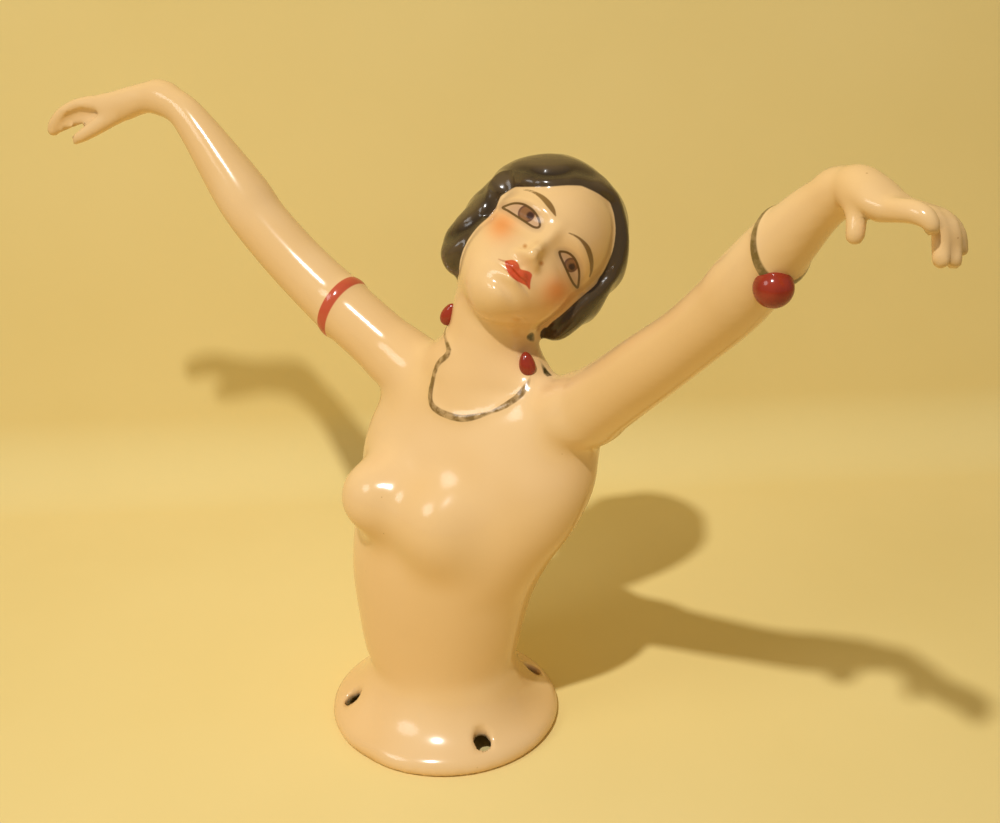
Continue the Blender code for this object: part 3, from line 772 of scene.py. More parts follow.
@dataclass
class Casting:
    """The one-piece porcelain casting, from the foot to the finger tips."""

    wall: float = 2.6
    hollow_top: float = 55.0
    chest_yaw: float = -7.0
    coarse_pitch: float = 0.9
    fine_pitch: float = 0.72
    unevenness_pitch: float = 9.0
    unevenness_height: float = 0.035
    breast_blend: float = 5.5
    head_blend: float = 1.6
    # Roundings of the sharp edges: the nick and the holes, the mouth of the hollow, the foot plane.
    hole_edge: float = 0.5
    mouth_edge: float = 0.8
    foot_edge: float = 0.4
    head: Head = field(default_factory=Head)
    foot: Foot = field(default_factory=Foot)
    jewellery: Jewellery = field(default_factory=Jewellery)
    face: PaintedFace = field(default_factory=PaintedFace)
    limbs: dict[str, Limb] = field(default_factory=dict, init=False)
    breasts: tuple[Oval, ...] = (
        Oval((-6.4, -8.8, 45.2), (6.4, 6.2, 6.2)),
        Oval((5.4, -9.6, 42.8), (5.8, 5.8, 6.4)),
    )

    def __post_init__(self) -> None:
        """Lays out every limb."""
        yaw = math.radians(self.chest_yaw)
        chest = (math.cos(yaw), math.sin(yaw), 0.0)
        for name, rows in LIMB_ROWS.items():
            if name == "torso":
                rows = self.foot.rows() + rows
            self.limbs[name] = Limb(rows, chest if name in ("torso", "neck") else None, name == "torso")

    def distance(self, points: np.ndarray) -> np.ndarray:
        """How far each point stands outside the casting's skin.

        Args:
            points: Points in the doll's frame.

        Returns:
            One distance for each point, negative in the porcelain.
        """
        away = {
            name: piece.distance(points, WIDE_REACH if name == "torso" else FAR)
            for name, piece in self.limbs.items()
        }
        body = cut(away["torso"], self.foot.nick(points), self.hole_edge)
        for breast in self.breasts:
            body = join(body, breast.distance(points), self.breast_blend)
        for name, blend in JOINS:
            body = join(body, away[name], blend) if name != "right hollow" else cut(body, away[name], blend)
        body = join(body, self.head.distance(points), self.head_blend) - self.jewellery.height(points)
        hollow = np.maximum(self.hollow.distance(points, WIDE_REACH), points[:, 2] - self.hollow_top)
        body = cut(body, hollow, self.mouth_edge)
        body = cut(body, self.foot.holes(points), self.hole_edge)
        return cut(body, points[:, 2], self.foot_edge) + self.unevenness(points)

    @property
    def hollow(self) -> Limb:
        """The space inside the torso, open through the foot."""
        return self.limbs["torso"].narrowed(self.wall, self.hollow_top)

    def unevenness(self, points: np.ndarray) -> np.ndarray:
        """The slight waviness that slip casting and a thick glaze leave, none near the foot plane.

        Args:
            points: Points in the doll's frame.

        Returns:
            One small height for each point.
        """
        x, y, z = points.T / self.unevenness_pitch
        wobble = np.sin(2.1 * x + 0.8 * z) * np.sin(1.7 * y - 1.3 * z)
        wobble += np.sin(1.1 * z + 1.9 * y) * np.sin(2.6 * x)
        return self.unevenness_height * wobble * np.clip(points[:, 2] / 6, 0, 1)

    def rough(self) -> bmesh.types.BMesh:
        """Closed shapes that overlap wherever the skin runs from one to the next.

        Returns:
            The shapes in one mesh, cut off level at the foot plane.
        """
        mesh = bmesh.new()
        for name, piece in self.limbs.items():
            if name != "right hollow":
                piece.add_to(mesh, rounded=name != "torso")
        self.head.add_to(mesh)
        for breast in self.breasts:
            breast.add_to(mesh)
        bmesh.ops.bisect_plane(
            mesh, geom=mesh.verts[:] + mesh.edges[:] + mesh.faces[:],
            plane_co=(0, 0, 0.02), plane_no=(0, 0, -1), clear_outer=True,
        )
        bmesh.ops.holes_fill(mesh, edges=[edge for edge in mesh.edges if edge.is_boundary])
        bmesh.ops.recalc_face_normals(mesh, faces=mesh.faces)
        return mesh

    def settle(self, body: bpy.types.Object, rounds: int) -> None:
        """Moves every vertex square to the skin until it lies on it.

        Args:
            body: The object whose mesh is moved.
            rounds: How many times each vertex is moved.
        """
        step = 0.02
        corners = np.array(((1, 1, 1), (1, -1, -1), (-1, 1, -1), (-1, -1, 1))) * step
        points = places(body.data)
        for _ in range(rounds):
            values = np.stack([self.distance(points + corner) for corner in corners])
            slope = values.T @ corners / (4 * step**2)
            move = -(values.mean(axis=0) / np.maximum((slope**2).sum(axis=1), 0.25))[:, None] * slope
            length = np.linalg.norm(move, axis=1)[:, None]
            points = points + move * np.minimum(1, 1 / np.maximum(length, 1e-9))
            points[:, 2] = np.maximum(points[:, 2], 0.0)
        place(body.data, points)

    @staticmethod
    def remesh(body: bpy.types.Object, pitch: float) -> None:
        """Covers the outer skin of whatever overlaps with even squares.

        Args:
            body: The object whose mesh is replaced.
            pitch: The side of a square in millimetres.
        """
        skin = body.modifiers.new("skin", "REMESH")
        skin.mode = "VOXEL"
        skin.voxel_size = pitch
        apply_modifiers(body)

    def open_up(self, body: bpy.types.Object) -> None:
        """Cuts the hollow out of the solid body, then the sewing holes.

        Args:
            body: The object that is cut.
        """
        for add_tool in (self.hollow.add_to, self.foot.add_pins):
            tool = bmesh.new()
            add_tool(tool)
            bmesh.ops.recalc_face_normals(tool, faces=tool.faces)
            cutter = new_object(tool, "cutter")
            taken = body.modifiers.new("opening", "BOOLEAN")
            taken.operation, taken.solver, taken.object = "DIFFERENCE", "EXACT", cutter
            apply_modifiers(body)
            bpy.data.objects.remove(cutter)

    @staticmethod
    def refine(body: bpy.types.Object, wanted: Callable[[np.ndarray], np.ndarray]) -> None:
        """Splits the faces in a region in four.

        Args:
            body: The object whose mesh gets more faces.
            wanted: Says for each point whether it lies in the region.
        """
        inside = wanted(places(body.data))
        mesh = bmesh.new()
        mesh.from_mesh(body.data)
        edges = [edge for edge in mesh.edges if all(inside[corner.index] for corner in edge.verts)]
        bmesh.ops.subdivide_edges(mesh, edges=edges, cuts=1, use_grid_fill=True)
        mesh.to_mesh(body.data)
        mesh.free()

    def near_details(self, points: np.ndarray) -> np.ndarray:
        """Whether each point is near the head, a hand, a painted line or a sewing hole.

        Args:
            points: Points in the doll's frame.

        Returns:
            True for each point that is near one.
        """
        balls = ((self.head.centre, 18.0), ((-74.0, 4.0, 98.0), 11.5), ((75.0, -27.0, 107.0), 11.5))
        near = [np.linalg.norm(points - np.array(centre), axis=1) < reach for centre, reach in balls]
        near.append(np.linalg.norm(points - np.array(self.head.centre) - (2, -1, 6), axis=1) < 17.0)
        near += [away < 0.9 for away in self.jewellery.offsets(points)]
        near.append(self.foot.holes(points) < 1.2)
        return np.logical_or.reduce(near)

    def near_face(self, points: np.ndarray) -> np.ndarray:
        """Whether each point is on the painted face."""
        spots, toward = self.head.face_spots(self.head.local(points))
        return (np.linalg.norm((spots - (0, 2.6)) / (9.6, 7.2), axis=1) < 1) & (toward > 1)

    def soften_hairline(self, body: bpy.types.Object, rounds: int = 5) -> None:
        """Rounds the edge of the hair off, as thick glaze does.

        Args:
            body: The object whose vertices are evened out.
            rounds: How many times.
        """
        spots, toward = self.head.face_spots(self.head.local(places(body.data)))
        edge = outline_distance(spots, np.array(self.head.hairline))
        near = (np.abs(edge) < 1.5) & (toward > -3) & (np.linalg.norm(spots, axis=1) < 19)
        mesh = bmesh.new()
        mesh.from_mesh(body.data)
        mesh.verts.ensure_lookup_table()
        verts = [mesh.verts[int(index)] for index in np.flatnonzero(near)]
        for _ in range(rounds):
            bmesh.ops.smooth_vert(
                mesh, verts=verts, factor=0.5, use_axis_x=True, use_axis_y=True, use_axis_z=True
            )
        mesh.to_mesh(body.data)
        mesh.free()

    @staticmethod
    def even_out_gloss(data: bpy.types.Mesh, rounds: int = 3) -> None:
        """Averages the normals over their neighbours, so that the reflections of the lamps run smoothly.

        Args:
            data: The mesh that gets its own normals.
            rounds: How many times they are averaged.
        """
        facing = np.empty(len(data.vertices) * 3, np.float32)
        data.vertex_normals.foreach_get("vector", facing)
        facing = facing.reshape(-1, 3).astype(float)
        ends = np.empty(len(data.edges) * 2, np.int32)
        data.edges.foreach_get("vertices", ends)
        first, second = ends.reshape(-1, 2).T
        for _ in range(rounds):
            total = facing.copy()
            for axis in range(3):
                total[:, axis] += np.bincount(first, facing[second, axis], len(facing))
                total[:, axis] += np.bincount(second, facing[first, axis], len(facing))
            facing = total / np.maximum(np.linalg.norm(total, axis=1), 1e-9)[:, None]
        data.normals_split_custom_set_from_vertices(facing.tolist())

    def paint(self, body: bpy.types.Object) -> None:
        """Stores on every vertex how far it lies from the edge of each painted area.

        Args:
            body: The object that gets the marks.
        """
        points = places(body.data)
        local = self.head.local(points)
        spots, toward = self.head.face_spots(local)
        marks = {
            name: np.where(toward > 1, value, 0.0 if name == "blush" else FAR)
            for name, value in self.face.marks(spots).items()
        }
        near = np.linalg.norm(points - np.array(self.head.centre), axis=1) < self.head.reach - 1
        hair = self.head.hair(local)
        marks["hair"] = np.where(near, np.maximum(hair - self.head.skull(local), 2 * (hair - 0.5)), FAR)
        marks["wave"] = np.where(near, 2 * self.head.waves(local), 0.0)
        marks["armlet"], marks["bangle"], marks["necklace"] = self.jewellery.offsets(points)
        marks["ear gilt"] = self.jewellery.ear_gilt_offset(points)
        hollow = self.hollow.distance(points, WIDE_REACH)
        inside = np.where(points[:, 2] < self.hollow_top + 1, hollow, FAR)
        marks["bare"] = np.minimum(inside, 6 * points[:, 2])
        for name, value in marks.items():
            stored = body.data.attributes.new(name, "FLOAT", "POINT")
            stored.data.foreach_set("value", np.clip(value, -FAR, FAR).astype(np.float32))

    def make(self) -> bpy.types.Object:
        """Builds the finished casting, in metres in the part's frame.

        Returns:
            The casting, with its paint marks stored on its vertices.
        """
        body = new_object(self.rough(), "glazed_half_doll")
        self.remesh(body, self.coarse_pitch)
        self.settle(body, 3)
        self.remesh(body, self.coarse_pitch)
        self.open_up(body)
        self.settle(body, 2)
        self.remesh(body, self.fine_pitch)
        self.settle(body, 2)
        self.refine(body, self.near_details)
        self.settle(body, 2)
        self.refine(body, self.near_face)
        self.settle(body, 1)
        self.soften_hairline(body)
        self.paint(body)
        place(body.data, (places(body.data) + (*FOOT_MIDDLE, 0)) * MM)
        body.data.shade_smooth()
        self.even_out_gloss(body.data)
        return body


# Cross-sections of every limb: centre x, y, z, then half width and half depth.
LIMB_ROWS: dict[str, Rows] = {
    "torso": (
        (-0.9, 0.0, 13.5, 14.1, 11.9), (-0.8, 0.0, 20.0, 15.3, 12.4), (-0.1, -0.1, 28.0, 16.9, 12.8),
        (2.0, -0.1, 36.0, 18.6, 12.7), (4.2, 1.0, 43.0, 20.4, 12.6), (5.4, 2.4, 50.0, 21.6, 12.2),
        (6.2, 3.6, 56.0, 20.4, 11.0), (6.6, 4.1, 61.0, 15.8, 9.2), (6.6, 4.4, 65.0, 11.0, 7.4),
    ),
    "neck": (
        (5.3, 4.2, 60.0, 9.4, 8.6), (5.1, 4.0, 64.5, 7.6, 8.0), (5.8, 4.2, 68.0, 6.3, 7.0),
        (7.1, 4.7, 72.0, 6.9, 6.9), (8.3, 5.5, 77.0, 7.3, 7.2), (9.4, 6.8, 82.0, 6.4, 6.6),
    ),
    "right arm": (
        (-2.0, 5.4, 59.0, 7.0, 6.0), (-11.7, 6.3, 63.4, 5.7, 5.8), (-16.0, 6.4, 66.0, 5.2, 5.3),
        (-24.0, 6.7, 71.0, 5.1, 5.2), (-32.0, 7.0, 76.6, 4.8, 4.9), (-39.0, 7.2, 82.6, 4.7, 4.7),
        (-42.4, 7.3, 86.4, 4.8, 4.8), (-45.5, 7.4, 90.0, 4.4, 4.5), (-51.6, 7.6, 97.2, 3.2, 3.4),
        (-55.4, 7.8, 100.6, 2.7, 2.9), (-60.4, 8.0, 102.3, 2.5, 2.8),
    ),
    "left arm": (
        (14.0, 3.6, 57.0, 7.0, 6.0), (25.0, 0.9, 63.3, 6.6, 6.2), (29.6, -1.6, 67.3, 5.6, 5.6),
        (37.6, -5.9, 75.0, 5.0, 5.1), (44.9, -9.7, 82.1, 4.6, 4.7), (51.0, -13.0, 88.8, 4.6, 4.7),
        (54.0, -14.6, 92.8, 4.8, 4.8), (58.2, -16.8, 98.5, 4.2, 4.3), (62.8, -19.2, 104.4, 3.4, 3.4),
        (66.2, -20.9, 107.8, 2.8, 2.8),
    ),
    "right palm": (
        (-59.0, 8.3, 102.1, 2.6, 2.7), (-62.0, 7.6, 102.1, 2.4, 2.6), (-64.6, 6.8, 101.4, 2.2, 2.6),
        (-67.4, 6.0, 100.4, 1.9, 2.7), (-70.5, 5.3, 99.7, 1.5, 2.4),
    ),
    "right fingers": (
        (-69.0, 5.7, 99.9, 1.5, 2.3), (-72.3, 5.0, 99.6, 1.4, 2.3), (-75.2, 4.3, 99.1, 1.3, 2.2),
        (-78.1, 3.5, 97.8, 1.2, 2.0), (-80.2, 3.0, 96.3, 1.0, 1.5), (-81.1, 2.8, 95.2, 0.8, 1.0),
    ),
    "right hollow": (
        (-71.6, 3.9, 98.7, 0.8, 1.0), (-74.4, 3.2, 98.4, 1.1, 1.5), (-76.8, 2.6, 97.4, 1.1, 1.5),
        (-78.8, 2.0, 95.8, 0.8, 1.0), (-80.0, 1.6, 94.2, 0.5, 0.6),
    ),
    "right thumb": (
        (-68.4, 5.5, 98.8, 1.5, 1.6), (-71.0, 4.6, 97.2, 1.4, 1.5), (-72.8, 4.0, 96.0, 1.3, 1.3),
        (-74.6, 3.4, 94.9, 1.1, 1.1), (-76.0, 3.0, 94.1, 0.8, 0.8),
    ),
    "left palm": (
        (66.2, -20.7, 108.0, 2.7, 2.7), (67.6, -21.9, 108.9, 2.6, 2.5), (69.2, -23.3, 109.4, 2.8, 2.6),
        (70.8, -24.6, 109.3, 3.0, 2.3), (72.4, -25.6, 108.9, 3.1, 1.9), (73.6, -26.2, 108.7, 2.8, 1.5),
    ),
    "left index": (
        (72.6, -27.1, 108.3, 1.4, 1.4), (75.8, -28.8, 109.0, 1.3, 1.3), (77.5, -29.6, 109.0, 1.2, 1.2),
        (78.5, -30.0, 108.5, 1.0, 1.0), (78.9, -30.1, 107.8, 0.8, 0.8),
    ),
    "left middle": (
        (73.5, -26.4, 108.7, 1.2, 1.2), (76.0, -27.1, 108.4, 1.1, 1.1), (78.1, -27.4, 108.3, 1.1, 1.1),
        (79.3, -27.7, 107.2, 1.0, 1.0), (79.7, -28.0, 105.5, 1.0, 1.0), (80.0, -28.7, 104.1, 0.9, 0.9),
    ),
    "left ring": (
        (74.0, -24.9, 108.5, 1.1, 1.1), (77.1, -25.7, 108.3, 1.0, 1.0), (79.3, -26.2, 107.9, 1.0, 1.0),
        (80.4, -26.7, 106.8, 0.95, 0.95), (80.8, -26.7, 105.0, 0.9, 0.9), (81.1, -27.2, 103.7, 0.85, 0.85),
    ),
    "left little": (
        (74.4, -23.7, 108.1, 1.0, 1.0), (77.5, -24.0, 107.7, 0.9, 0.9), (79.7, -24.5, 107.2, 0.85, 0.85),
        (80.9, -25.0, 106.0, 0.8, 0.8), (81.3, -25.2, 104.5, 0.8, 0.8),
    ),
    "left thumb": (
        (69.0, -24.6, 108.4, 1.5, 1.5), (69.8, -26.2, 107.2, 1.2, 1.2), (70.2, -27.2, 106.0, 1.1, 1.1),
        (70.3, -27.6, 105.2, 1.05, 1.05),
    ),
}

# How each limb runs into the rest, in order: its name and the width of the fillet.
JOINS = (
    ("right arm", 4.0), ("left arm", 4.0), ("neck", 3.0), ("right palm", 1.2), ("left palm", 1.2),
    ("left thumb", 0.9), ("right fingers", 0.8), ("right hollow", 0.5), ("right thumb", 0.6),
    ("left index", 0.5), ("left middle", 0.5), ("left ring", 0.4), ("left little", 0.4),
)


def linear(colour: str) -> tuple[float, ...]:
    """Turns an sRGB hex colour into the linear colour that shaders take."""
    parts = [int(colour[i : i + 2], 16) / 255 for i in (1, 3, 5)]
    return (*(c / 12.92 if c <= 0.04045 else ((c + 0.055) / 1.055) ** 2.4 for c in parts), 1.0)


def add_node(
    tree: bpy.types.NodeTree, kind: str, settings: dict[str, object] | None = None,
    inputs: dict[str | int, object] | None = None,
) -> bpy.types.Node:
    """Adds one node to a tree.

    Args:
        tree: The tree that gets the node.
        kind: The node's type name.
        settings: Properties set on the node.
        inputs: Sockets by name or number, each with a value or with the output that feeds it.

    Returns:
        The node.
    """
    node = tree.nodes.new(kind)
    for name, value in (settings or {}).items():
        setattr(node, name, value)
    for name, value in (inputs or {}).items():
        socket = node.inputs[name]
        if isinstance(value, Socket):
            tree.links.new(value, socket)
        else:
            socket.default_value = value
    return node


@dataclass
class Shader:
    """A material in the making, whose patterns are read in the object's own coordinates."""

    name: str
    material: bpy.types.Material = field(init=False)
    tree: bpy.types.NodeTree = field(init=False)
    where: Socket = field(init=False)

    def __post_init__(self) -> None:
        """Makes the empty material."""
        self.material = bpy.data.materials.new(self.name)
        self.material.use_nodes = True
        self.tree = self.material.node_tree
        self.tree.nodes.clear()
        self.where = add_node(self.tree, "ShaderNodeTexCoord").outputs["Object"]

    def noise(self, size_mm: float, detail: float = 3.0) -> Socket:
        """A cloudy pattern with patches about this wide."""
        inputs = {"Vector": self.where, "Scale": 1 / (size_mm * MM), "Detail": detail}
        return add_node(self.tree, "ShaderNodeTexNoise", {}, inputs).outputs["Fac"]

    def fade(self, value: object, start: float, end: float, first: float, last: float) -> Socket:
        """Runs from the first amount to the last while a value runs from start to end."""
        inputs = {"Value": value, "From Min": start, "From Max": end, "To Min": first, "To Max": last}
        return add_node(self.tree, "ShaderNodeMapRange", {}, inputs).outputs["Result"]

    def work_out(self, operation: str, *values: object) -> Socket:
        """Works one number out from others."""
        inputs = dict(enumerate(values))
        return add_node(self.tree, "ShaderNodeMath", {"operation": operation}, inputs).outputs[0]

    def mix(self, share: object, under: object, over: object) -> Socket:
        """Lays one colour over another by a share."""
        inputs = {0: share, 6: under, 7: over}
        return add_node(self.tree, "ShaderNodeMix", {"data_type": "RGBA"}, inputs).outputs[2]

    def surface(self, colour: object, roughness: object, specular: float = 0.5) -> Socket:
        """A solid surface with the index of glass, glaze and paper size."""
        inputs = {"Base Color": colour, "Roughness": roughness, "IOR": 1.5, "Specular IOR Level": specular}
        return add_node(self.tree, "ShaderNodeBsdfPrincipled", {}, inputs).outputs["BSDF"]

    def finish(self, surface: Socket) -> bpy.types.Material:
        """Joins the surface to the output and hands the material over."""
        add_node(self.tree, "ShaderNodeOutputMaterial", {}, {"Surface": surface})
        return self.material


class Edge(Enum):
    """How a painted area is read from the distance stored for it."""

    FILL = "fill"
    LINE = "line"


@dataclass(frozen=True)
class Stroke:
    """One colour laid on the porcelain under the glaze.

    The paint covers where the stored distance is below full, and is gone above bare. Inside keeps it
    within another mark, crest is its colour on the crests of the hair, and worn is the share rubbed away.
    """

    mark: str
    edge: Edge
    full: float
    bare: float
    colour: str
    strength: float = 1.0
    inside: str = ""
    crest: str = ""
    worn: float = 0.0

    def cover(self, shader: Shader, marks: dict[str, Socket], rubbed: Socket) -> Socket:
        """Works out how much of the porcelain the paint hides.

        Args:
            shader: The material that gets the nodes.
            marks: The stored distances by name.
            rubbed: The pattern in which gilding wears away.

        Returns:
            The share that is hidden.
        """
        reading = marks[self.mark]
        if self.edge is Edge.LINE:
            reading = shader.work_out("ABSOLUTE", reading)
        cover = shader.fade(reading, self.full, self.bare, self.strength, 0.0)
        if self.inside:
            within = shader.fade(marks[self.inside], -0.1, 0.05, 1.0, 0.0)
            cover = shader.work_out("MULTIPLY", cover, within)
        if self.worn:
            kept = shader.fade(rubbed, 0.42, 0.62, 1.0, 1 - self.worn)
            cover = shader.work_out("MULTIPLY", cover, kept)
        return cover

    def paint(self, shader: Shader, marks: dict[str, Socket]) -> object:
        """The colour of the paint, lighter on the crests of the hair.

        Args:
            shader: The material that gets the nodes.
            marks: The stored distances by name.

        Returns:
            A colour or the output that gives it.
        """
        if not self.crest:
            return linear(self.colour)
        high = shader.fade(marks["wave"], -0.7, 0.8, 0.0, 1.0)
        return shader.mix(high, linear(self.colour), linear(self.crest))


@dataclass(frozen=True)
class PaintedPorcelain:
    """Slip-cast porcelain, china-painted and clear glazed: creamy and even, with sharp reflections."""

    cream: str = "#EDC58A"
    pale: str = "#F1CC96"
    deep: str = "#ECC386"
    biscuit: str = "#E4D2B4"
    speck: str = "#A9793F"
    tone_mm: float = 24.0
    speck_mm: float = 5.0
    wear_mm: float = 1.2
    glaze_roughness: float = 0.16
    biscuit_roughness: float = 0.6
    strokes: tuple[Stroke, ...] = (
        Stroke("blush", Edge.FILL, 1.0, 0.0, "#E8883C", 0.78),
        Stroke("nostril", Edge.FILL, -0.25, 0.15, "#B9742C", 0.8),
        Stroke("lips", Edge.FILL, -0.08, 0.08, "#D25732"),
        Stroke("mouth", Edge.FILL, -0.05, 0.1, "#9C3A16", 0.55),
        Stroke("eye", Edge.FILL, 0.25, 0.95, "#A98565", 0.42),
        Stroke("eye", Edge.FILL, -0.1, 0.08, "#CFA67C"),
        Stroke("iris", Edge.FILL, -0.1, 0.06, "#6B4430", 0.95, "eye"),
        Stroke("iris", Edge.FILL, -0.4, -0.2, "#96683F", 0.9, "eye"),
        Stroke("pupil", Edge.FILL, -0.2, 0.1, "#3D241C", 0.95, "eye"),
        Stroke("eye", Edge.LINE, 0.13, 0.24, "#5F431D", 0.95),
        Stroke("brow", Edge.FILL, -0.06, 0.1, "#7D5A28", 0.92),
        Stroke("armlet", Edge.FILL, -0.08, 0.1, "#C8583A"),
        Stroke("bangle", Edge.FILL, -0.08, 0.1, "#7A6233", 1.0, worn=0.25),
        Stroke("ear gilt", Edge.FILL, -0.1, 0.15, "#4A3E1F", 1.0, worn=0.3),
        Stroke("necklace", Edge.FILL, -0.08, 0.1, "#86693A", 1.0, worn=0.45),
        Stroke("hair", Edge.FILL, -0.12, 0.1, "#33271A", 1.0, crest="#5E4C31"),
    )

    def body(self, shader: Shader) -> Socket:
        """The colour of the porcelain: three close cream tones, and iron specks about 0.15 mm wide.

        Args:
            shader: The material that gets the nodes.

        Returns:
            The output that gives the colour.
        """
        ramp = add_node(shader.tree, "ShaderNodeValToRGB", {}, {"Fac": shader.noise(self.tone_mm, 2.0)})
        low, high = ramp.color_ramp.elements
        low.position, low.color = 0.3, linear(self.deep)
        high.position, high.color = 0.7, linear(self.pale)
        ramp.color_ramp.elements.new(0.5).color = linear(self.cream)
        inputs = {"Vector": shader.where, "Scale": 1 / (self.speck_mm * MM), "Randomness": 1.0}
        specks = add_node(shader.tree, "ShaderNodeTexVoronoi", {}, inputs).outputs["Distance"]
        dots = shader.fade(specks, 0.018, 0.03, 0.55, 0.0)
        return shader.mix(dots, ramp.outputs["Color"], linear(self.speck))

    def material(self) -> bpy.types.Material:
        """Builds the shader: the porcelain, the painted strokes in order, then the glaze.

        Returns:
            The material.
        """
        shader = Shader("painted_glazed_porcelain")
        colour = self.body(shader)
        # The gilding is rubbed through in patches about 1 mm wide.
        rubbed = shader.noise(self.wear_mm)
        marks = {
            name: add_node(shader.tree, "ShaderNodeAttribute", {"attribute_name": name}).outputs["Fac"]
            for name in (*dict.fromkeys(stroke.mark for stroke in self.strokes), "bare", "wave")
        }
        for stroke in self.strokes:
            colour = shader.mix(stroke.cover(shader, marks, rubbed), colour, stroke.paint(shader, marks))
        bare = shader.fade(marks["bare"], 0.6, 1.1, 1.0, 0.0)
        colour = shader.mix(bare, colour, linear(self.biscuit))
        rough = shader.fade(bare, 0.0, 1.0, self.glaze_roughness, self.biscuit_roughness)
        return shader.finish(shader.surface(colour, rough))


@dataclass(frozen=True)
class RedEnamel:
    """Opaque red overglaze enamel: a deep red, darker in small random patches, under a high gloss."""

    light: str = "#AD3D26"
    dark: str = "#7C2316"
    tone_mm: float = 2.2

    def material(self) -> bpy.types.Material:
        """Builds the shader: uneven red under a hard gloss.

        Returns:
            The material.
        """
        shader = Shader("red_overglaze_enamel")
        colour = shader.mix(shader.noise(self.tone_mm), linear(self.dark), linear(self.light))
        return shader.finish(shader.surface(colour, 0.14))


@dataclass(frozen=True)
class Drop:
    """A moulded bead of porcelain painted red: the bangle's ball or an ear drop.

    Taper is the share by which its top is narrower than its foot, and lean is how far it leans to her right.
    """

    name: str
    centre: Place
    size: Place
    taper: float = 0.0
    lean: float = 0.0

    def make(self, finish: bpy.types.Material) -> bpy.types.Object:
        """Builds the bead in the part's frame.

        Args:
            finish: The bead's material.

        Returns:
            The bead.
        """
        mesh = bmesh.new()
        bmesh.ops.create_icosphere(mesh, subdivisions=5, radius=1)
        for vert in mesh.verts:
            width = 1 - self.taper * (vert.co.z + 1) / 2
            vert.co.x, vert.co.y = vert.co.x * width, vert.co.y * width
        bmesh.ops.scale(mesh, vec=self.size, verts=mesh.verts)
        bmesh.ops.rotate(mesh, matrix=Matrix.Rotation(math.radians(self.lean), 3, "Y"), verts=mesh.verts)
        bmesh.ops.translate(mesh, vec=Vector(self.centre) + Vector((*FOOT_MIDDLE, 0)), verts=mesh.verts)
        bmesh.ops.scale(mesh, vec=(MM,) * 3, verts=mesh.verts)
        bead = new_object(mesh, self.name)
        bead.data.materials.append(finish)
        bead.data.shade_smooth()
        return bead


@dataclass(frozen=True)
class StudioPaper:
    """Pale cream lining paper: matt, with a faint wide mottle."""

    light: str = "#F6E09B"
    dark: str = "#EED68C"
    mottle_mm: float = 60.0

    def material(self) -> bpy.types.Material:
        """Builds the shader, clear to the camera from behind so that every side of the doll can be seen.

        Returns:
            The material.
        """
        shader = Shader("cream_paper")
        colour = shader.mix(shader.noise(self.mottle_mm), linear(self.dark), linear(self.light))
        back = add_node(shader.tree, "ShaderNodeNewGeometry").outputs["Backfacing"]
        seen = add_node(shader.tree, "ShaderNodeLightPath").outputs["Is Camera Ray"]
        clear = shader.work_out("MULTIPLY", back, seen)
        glass = add_node(shader.tree, "ShaderNodeBsdfTransparent").outputs["BSDF"]
        inputs = {0: clear, 1: shader.surface(colour, 0.9, 0.1), 2: glass}
        return shader.finish(add_node(shader.tree, "ShaderNodeMixShader", {}, inputs).outputs["Shader"])


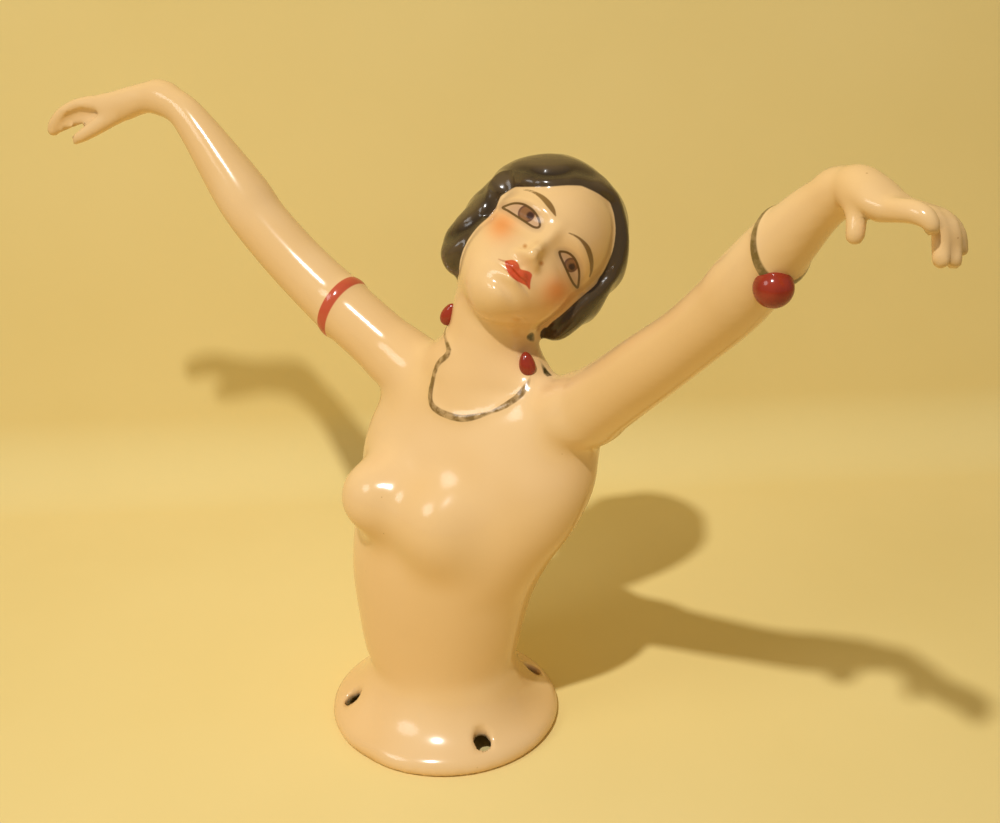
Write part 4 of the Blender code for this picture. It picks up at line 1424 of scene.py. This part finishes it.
@dataclass
class Studio:
    """The pale sheet under and behind the doll, the lamps and the camera."""

    wall_point: tuple[float, float] = (-118.0, 39.6)
    wall_angle: float = 33.4
    cove_radius: float = 17.0
    sheet_width: float = 1800.0
    floor_depth: float = 1000.0
    wall_height: float = 700.0
    camera_place: Place = (104.6, -176.0, 149.3)
    camera_azimuth: float = 28.0
    camera_drop: float = 24.0
    view_angle: float = 40.0
    sensor_width: float = 36.0
    chest: Place = (5.0, 0.0, 55.0)
    lamp_spread: float = 90.0
    room_colour: str = "#FFF4E0"
    room_strength: float = 0.25

    def sheet(self) -> bpy.types.Object:
        """Bends one sheet from the floor up into the wall behind.

        Returns:
            The sheet.
        """
        mesh = bmesh.new()
        near = mesh.verts.new((-self.sheet_width / 2, -self.floor_depth, 0))
        far = mesh.verts.new((self.sheet_width / 2, -self.floor_depth, 0))
        edge = mesh.edges.new((near, far))
        moves = [Vector((0, self.floor_depth - self.cove_radius, 0))]
        turns = np.linspace(0, math.pi / 2, 13)
        spots = [Vector((0, math.sin(t), 1 - math.cos(t))) * self.cove_radius for t in turns]
        moves += [after - before for before, after in zip(spots, spots[1:])]
        moves.append(Vector((0, 0, self.wall_height)))
        edges = [edge]
        for move in moves:
            grown = bmesh.ops.extrude_edge_only(mesh, edges=edges)["geom"]
            corners = [item for item in grown if isinstance(item, bmesh.types.BMVert)]
            bmesh.ops.translate(mesh, vec=move, verts=corners)
            edges = [item for item in grown if isinstance(item, bmesh.types.BMEdge)]
        turned = Matrix.Rotation(math.radians(self.wall_angle), 3, "Z")
        bmesh.ops.rotate(mesh, cent=(0, 0, 0), matrix=turned, verts=mesh.verts)
        bmesh.ops.translate(mesh, vec=(*self.wall_point, 0), verts=mesh.verts)
        bmesh.ops.scale(mesh, vec=(MM,) * 3, verts=mesh.verts)
        bmesh.ops.recalc_face_normals(mesh, faces=mesh.faces)
        mesh.faces.ensure_lookup_table()
        if mesh.faces[0].normal.z < 0:
            bmesh.ops.reverse_faces(mesh, faces=mesh.faces)
        made = new_object(mesh, "paper_sheet")
        made.data.materials.append(StudioPaper().material())
        made.data.shade_smooth()
        return made

    def lamp(
        self, name: str, azimuth: float, height: float, distance: float, size: float, power: float
    ) -> None:
        """Hangs one round white lamp that faces the doll's chest.

        Args:
            name: The lamp's name.
            azimuth: Degrees round from straight ahead of the doll, towards her left.
            height: Degrees above level.
            distance: Millimetres from the chest.
            size: Its diameter in millimetres.
            power: Watts.
        """
        light = bpy.data.lights.new(name, "AREA")
        light.shape, light.size, light.energy = "DISK", size * MM, power
        light.spread = math.radians(self.lamp_spread)
        made = bpy.data.objects.new(name, light)
        bpy.context.collection.objects.link(made)
        away = Vector((
            math.sin(math.radians(azimuth)) * math.cos(math.radians(height)),
            -math.cos(math.radians(azimuth)) * math.cos(math.radians(height)),
            math.sin(math.radians(height)),
        ))
        made.location = (Vector(self.chest) + away * distance) * MM
        made.rotation_euler = away.to_track_quat("Z", "Y").to_euler()

    def camera(self) -> None:
        """Sets the camera at the photograph's viewpoint."""
        data = bpy.data.cameras.new("camera")
        data.sensor_width = self.sensor_width
        data.lens = self.sensor_width / 2 / math.tan(math.radians(self.view_angle) / 2)
        data.clip_start, data.clip_end = 0.005, 20
        made = bpy.data.objects.new("camera", data)
        bpy.context.collection.objects.link(made)
        made.location = (Vector(self.camera_place) + Vector((*FOOT_MIDDLE, 0))) * MM
        made.rotation_euler = (math.radians(90 - self.camera_drop), 0, math.radians(self.camera_azimuth))
        bpy.context.scene.camera = made

    def world(self) -> None:
        """Fills the room with even, slightly warm light."""
        world = bpy.data.worlds.new("room")
        bpy.context.scene.world = world
        world.use_nodes = True
        fill = world.node_tree.nodes["Background"]
        fill.inputs["Color"].default_value = linear(self.room_colour)
        fill.inputs["Strength"].default_value = self.room_strength

    def build(self) -> bpy.types.Object:
        """Sets up the whole studio.

        Returns:
            The sheet, which is no part of the doll.
        """
        self.camera()
        self.world()
        self.lamp("key_lamp", 7.4, 56.5, 700, 26, 0.69)
        self.lamp("left_window", -30, 38, 430, 160, 0.07)
        bpy.context.scene.view_settings.view_transform = "Standard"
        return self.sheet()


def main() -> None:
    """Builds the doll and the studio, and reports each piece."""
    logging.basicConfig(level=logging.INFO, format="%(message)s")
    casting = Casting()
    body = casting.make()
    body.data.materials.append(PaintedPorcelain().material())
    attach(body, "root")
    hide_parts("half_doll")
    pieces = [body]
    enamel = RedEnamel().material()
    for drop in (
        Drop("bangle_ball", (59.3, -19.7, 94.9), (2.56, 2.56, 2.56)),
        Drop("right_ear_drop", (0.2, 2.9, 74.2), (1.5, 1.5, 2.0), 0.4, 22.0),
        Drop("left_ear_drop", (15.3, 0.9, 69.2), (1.55, 1.55, 1.95), 0.35, -12.0),
    ):
        bead = drop.make(enamel)
        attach(bead, "root")
        pieces.append(bead)
    Studio().build()
    for piece in pieces:
        LOG.info("%s: %d faces", piece.name, len(piece.data.polygons))


if __name__ == "__main__":
    main()
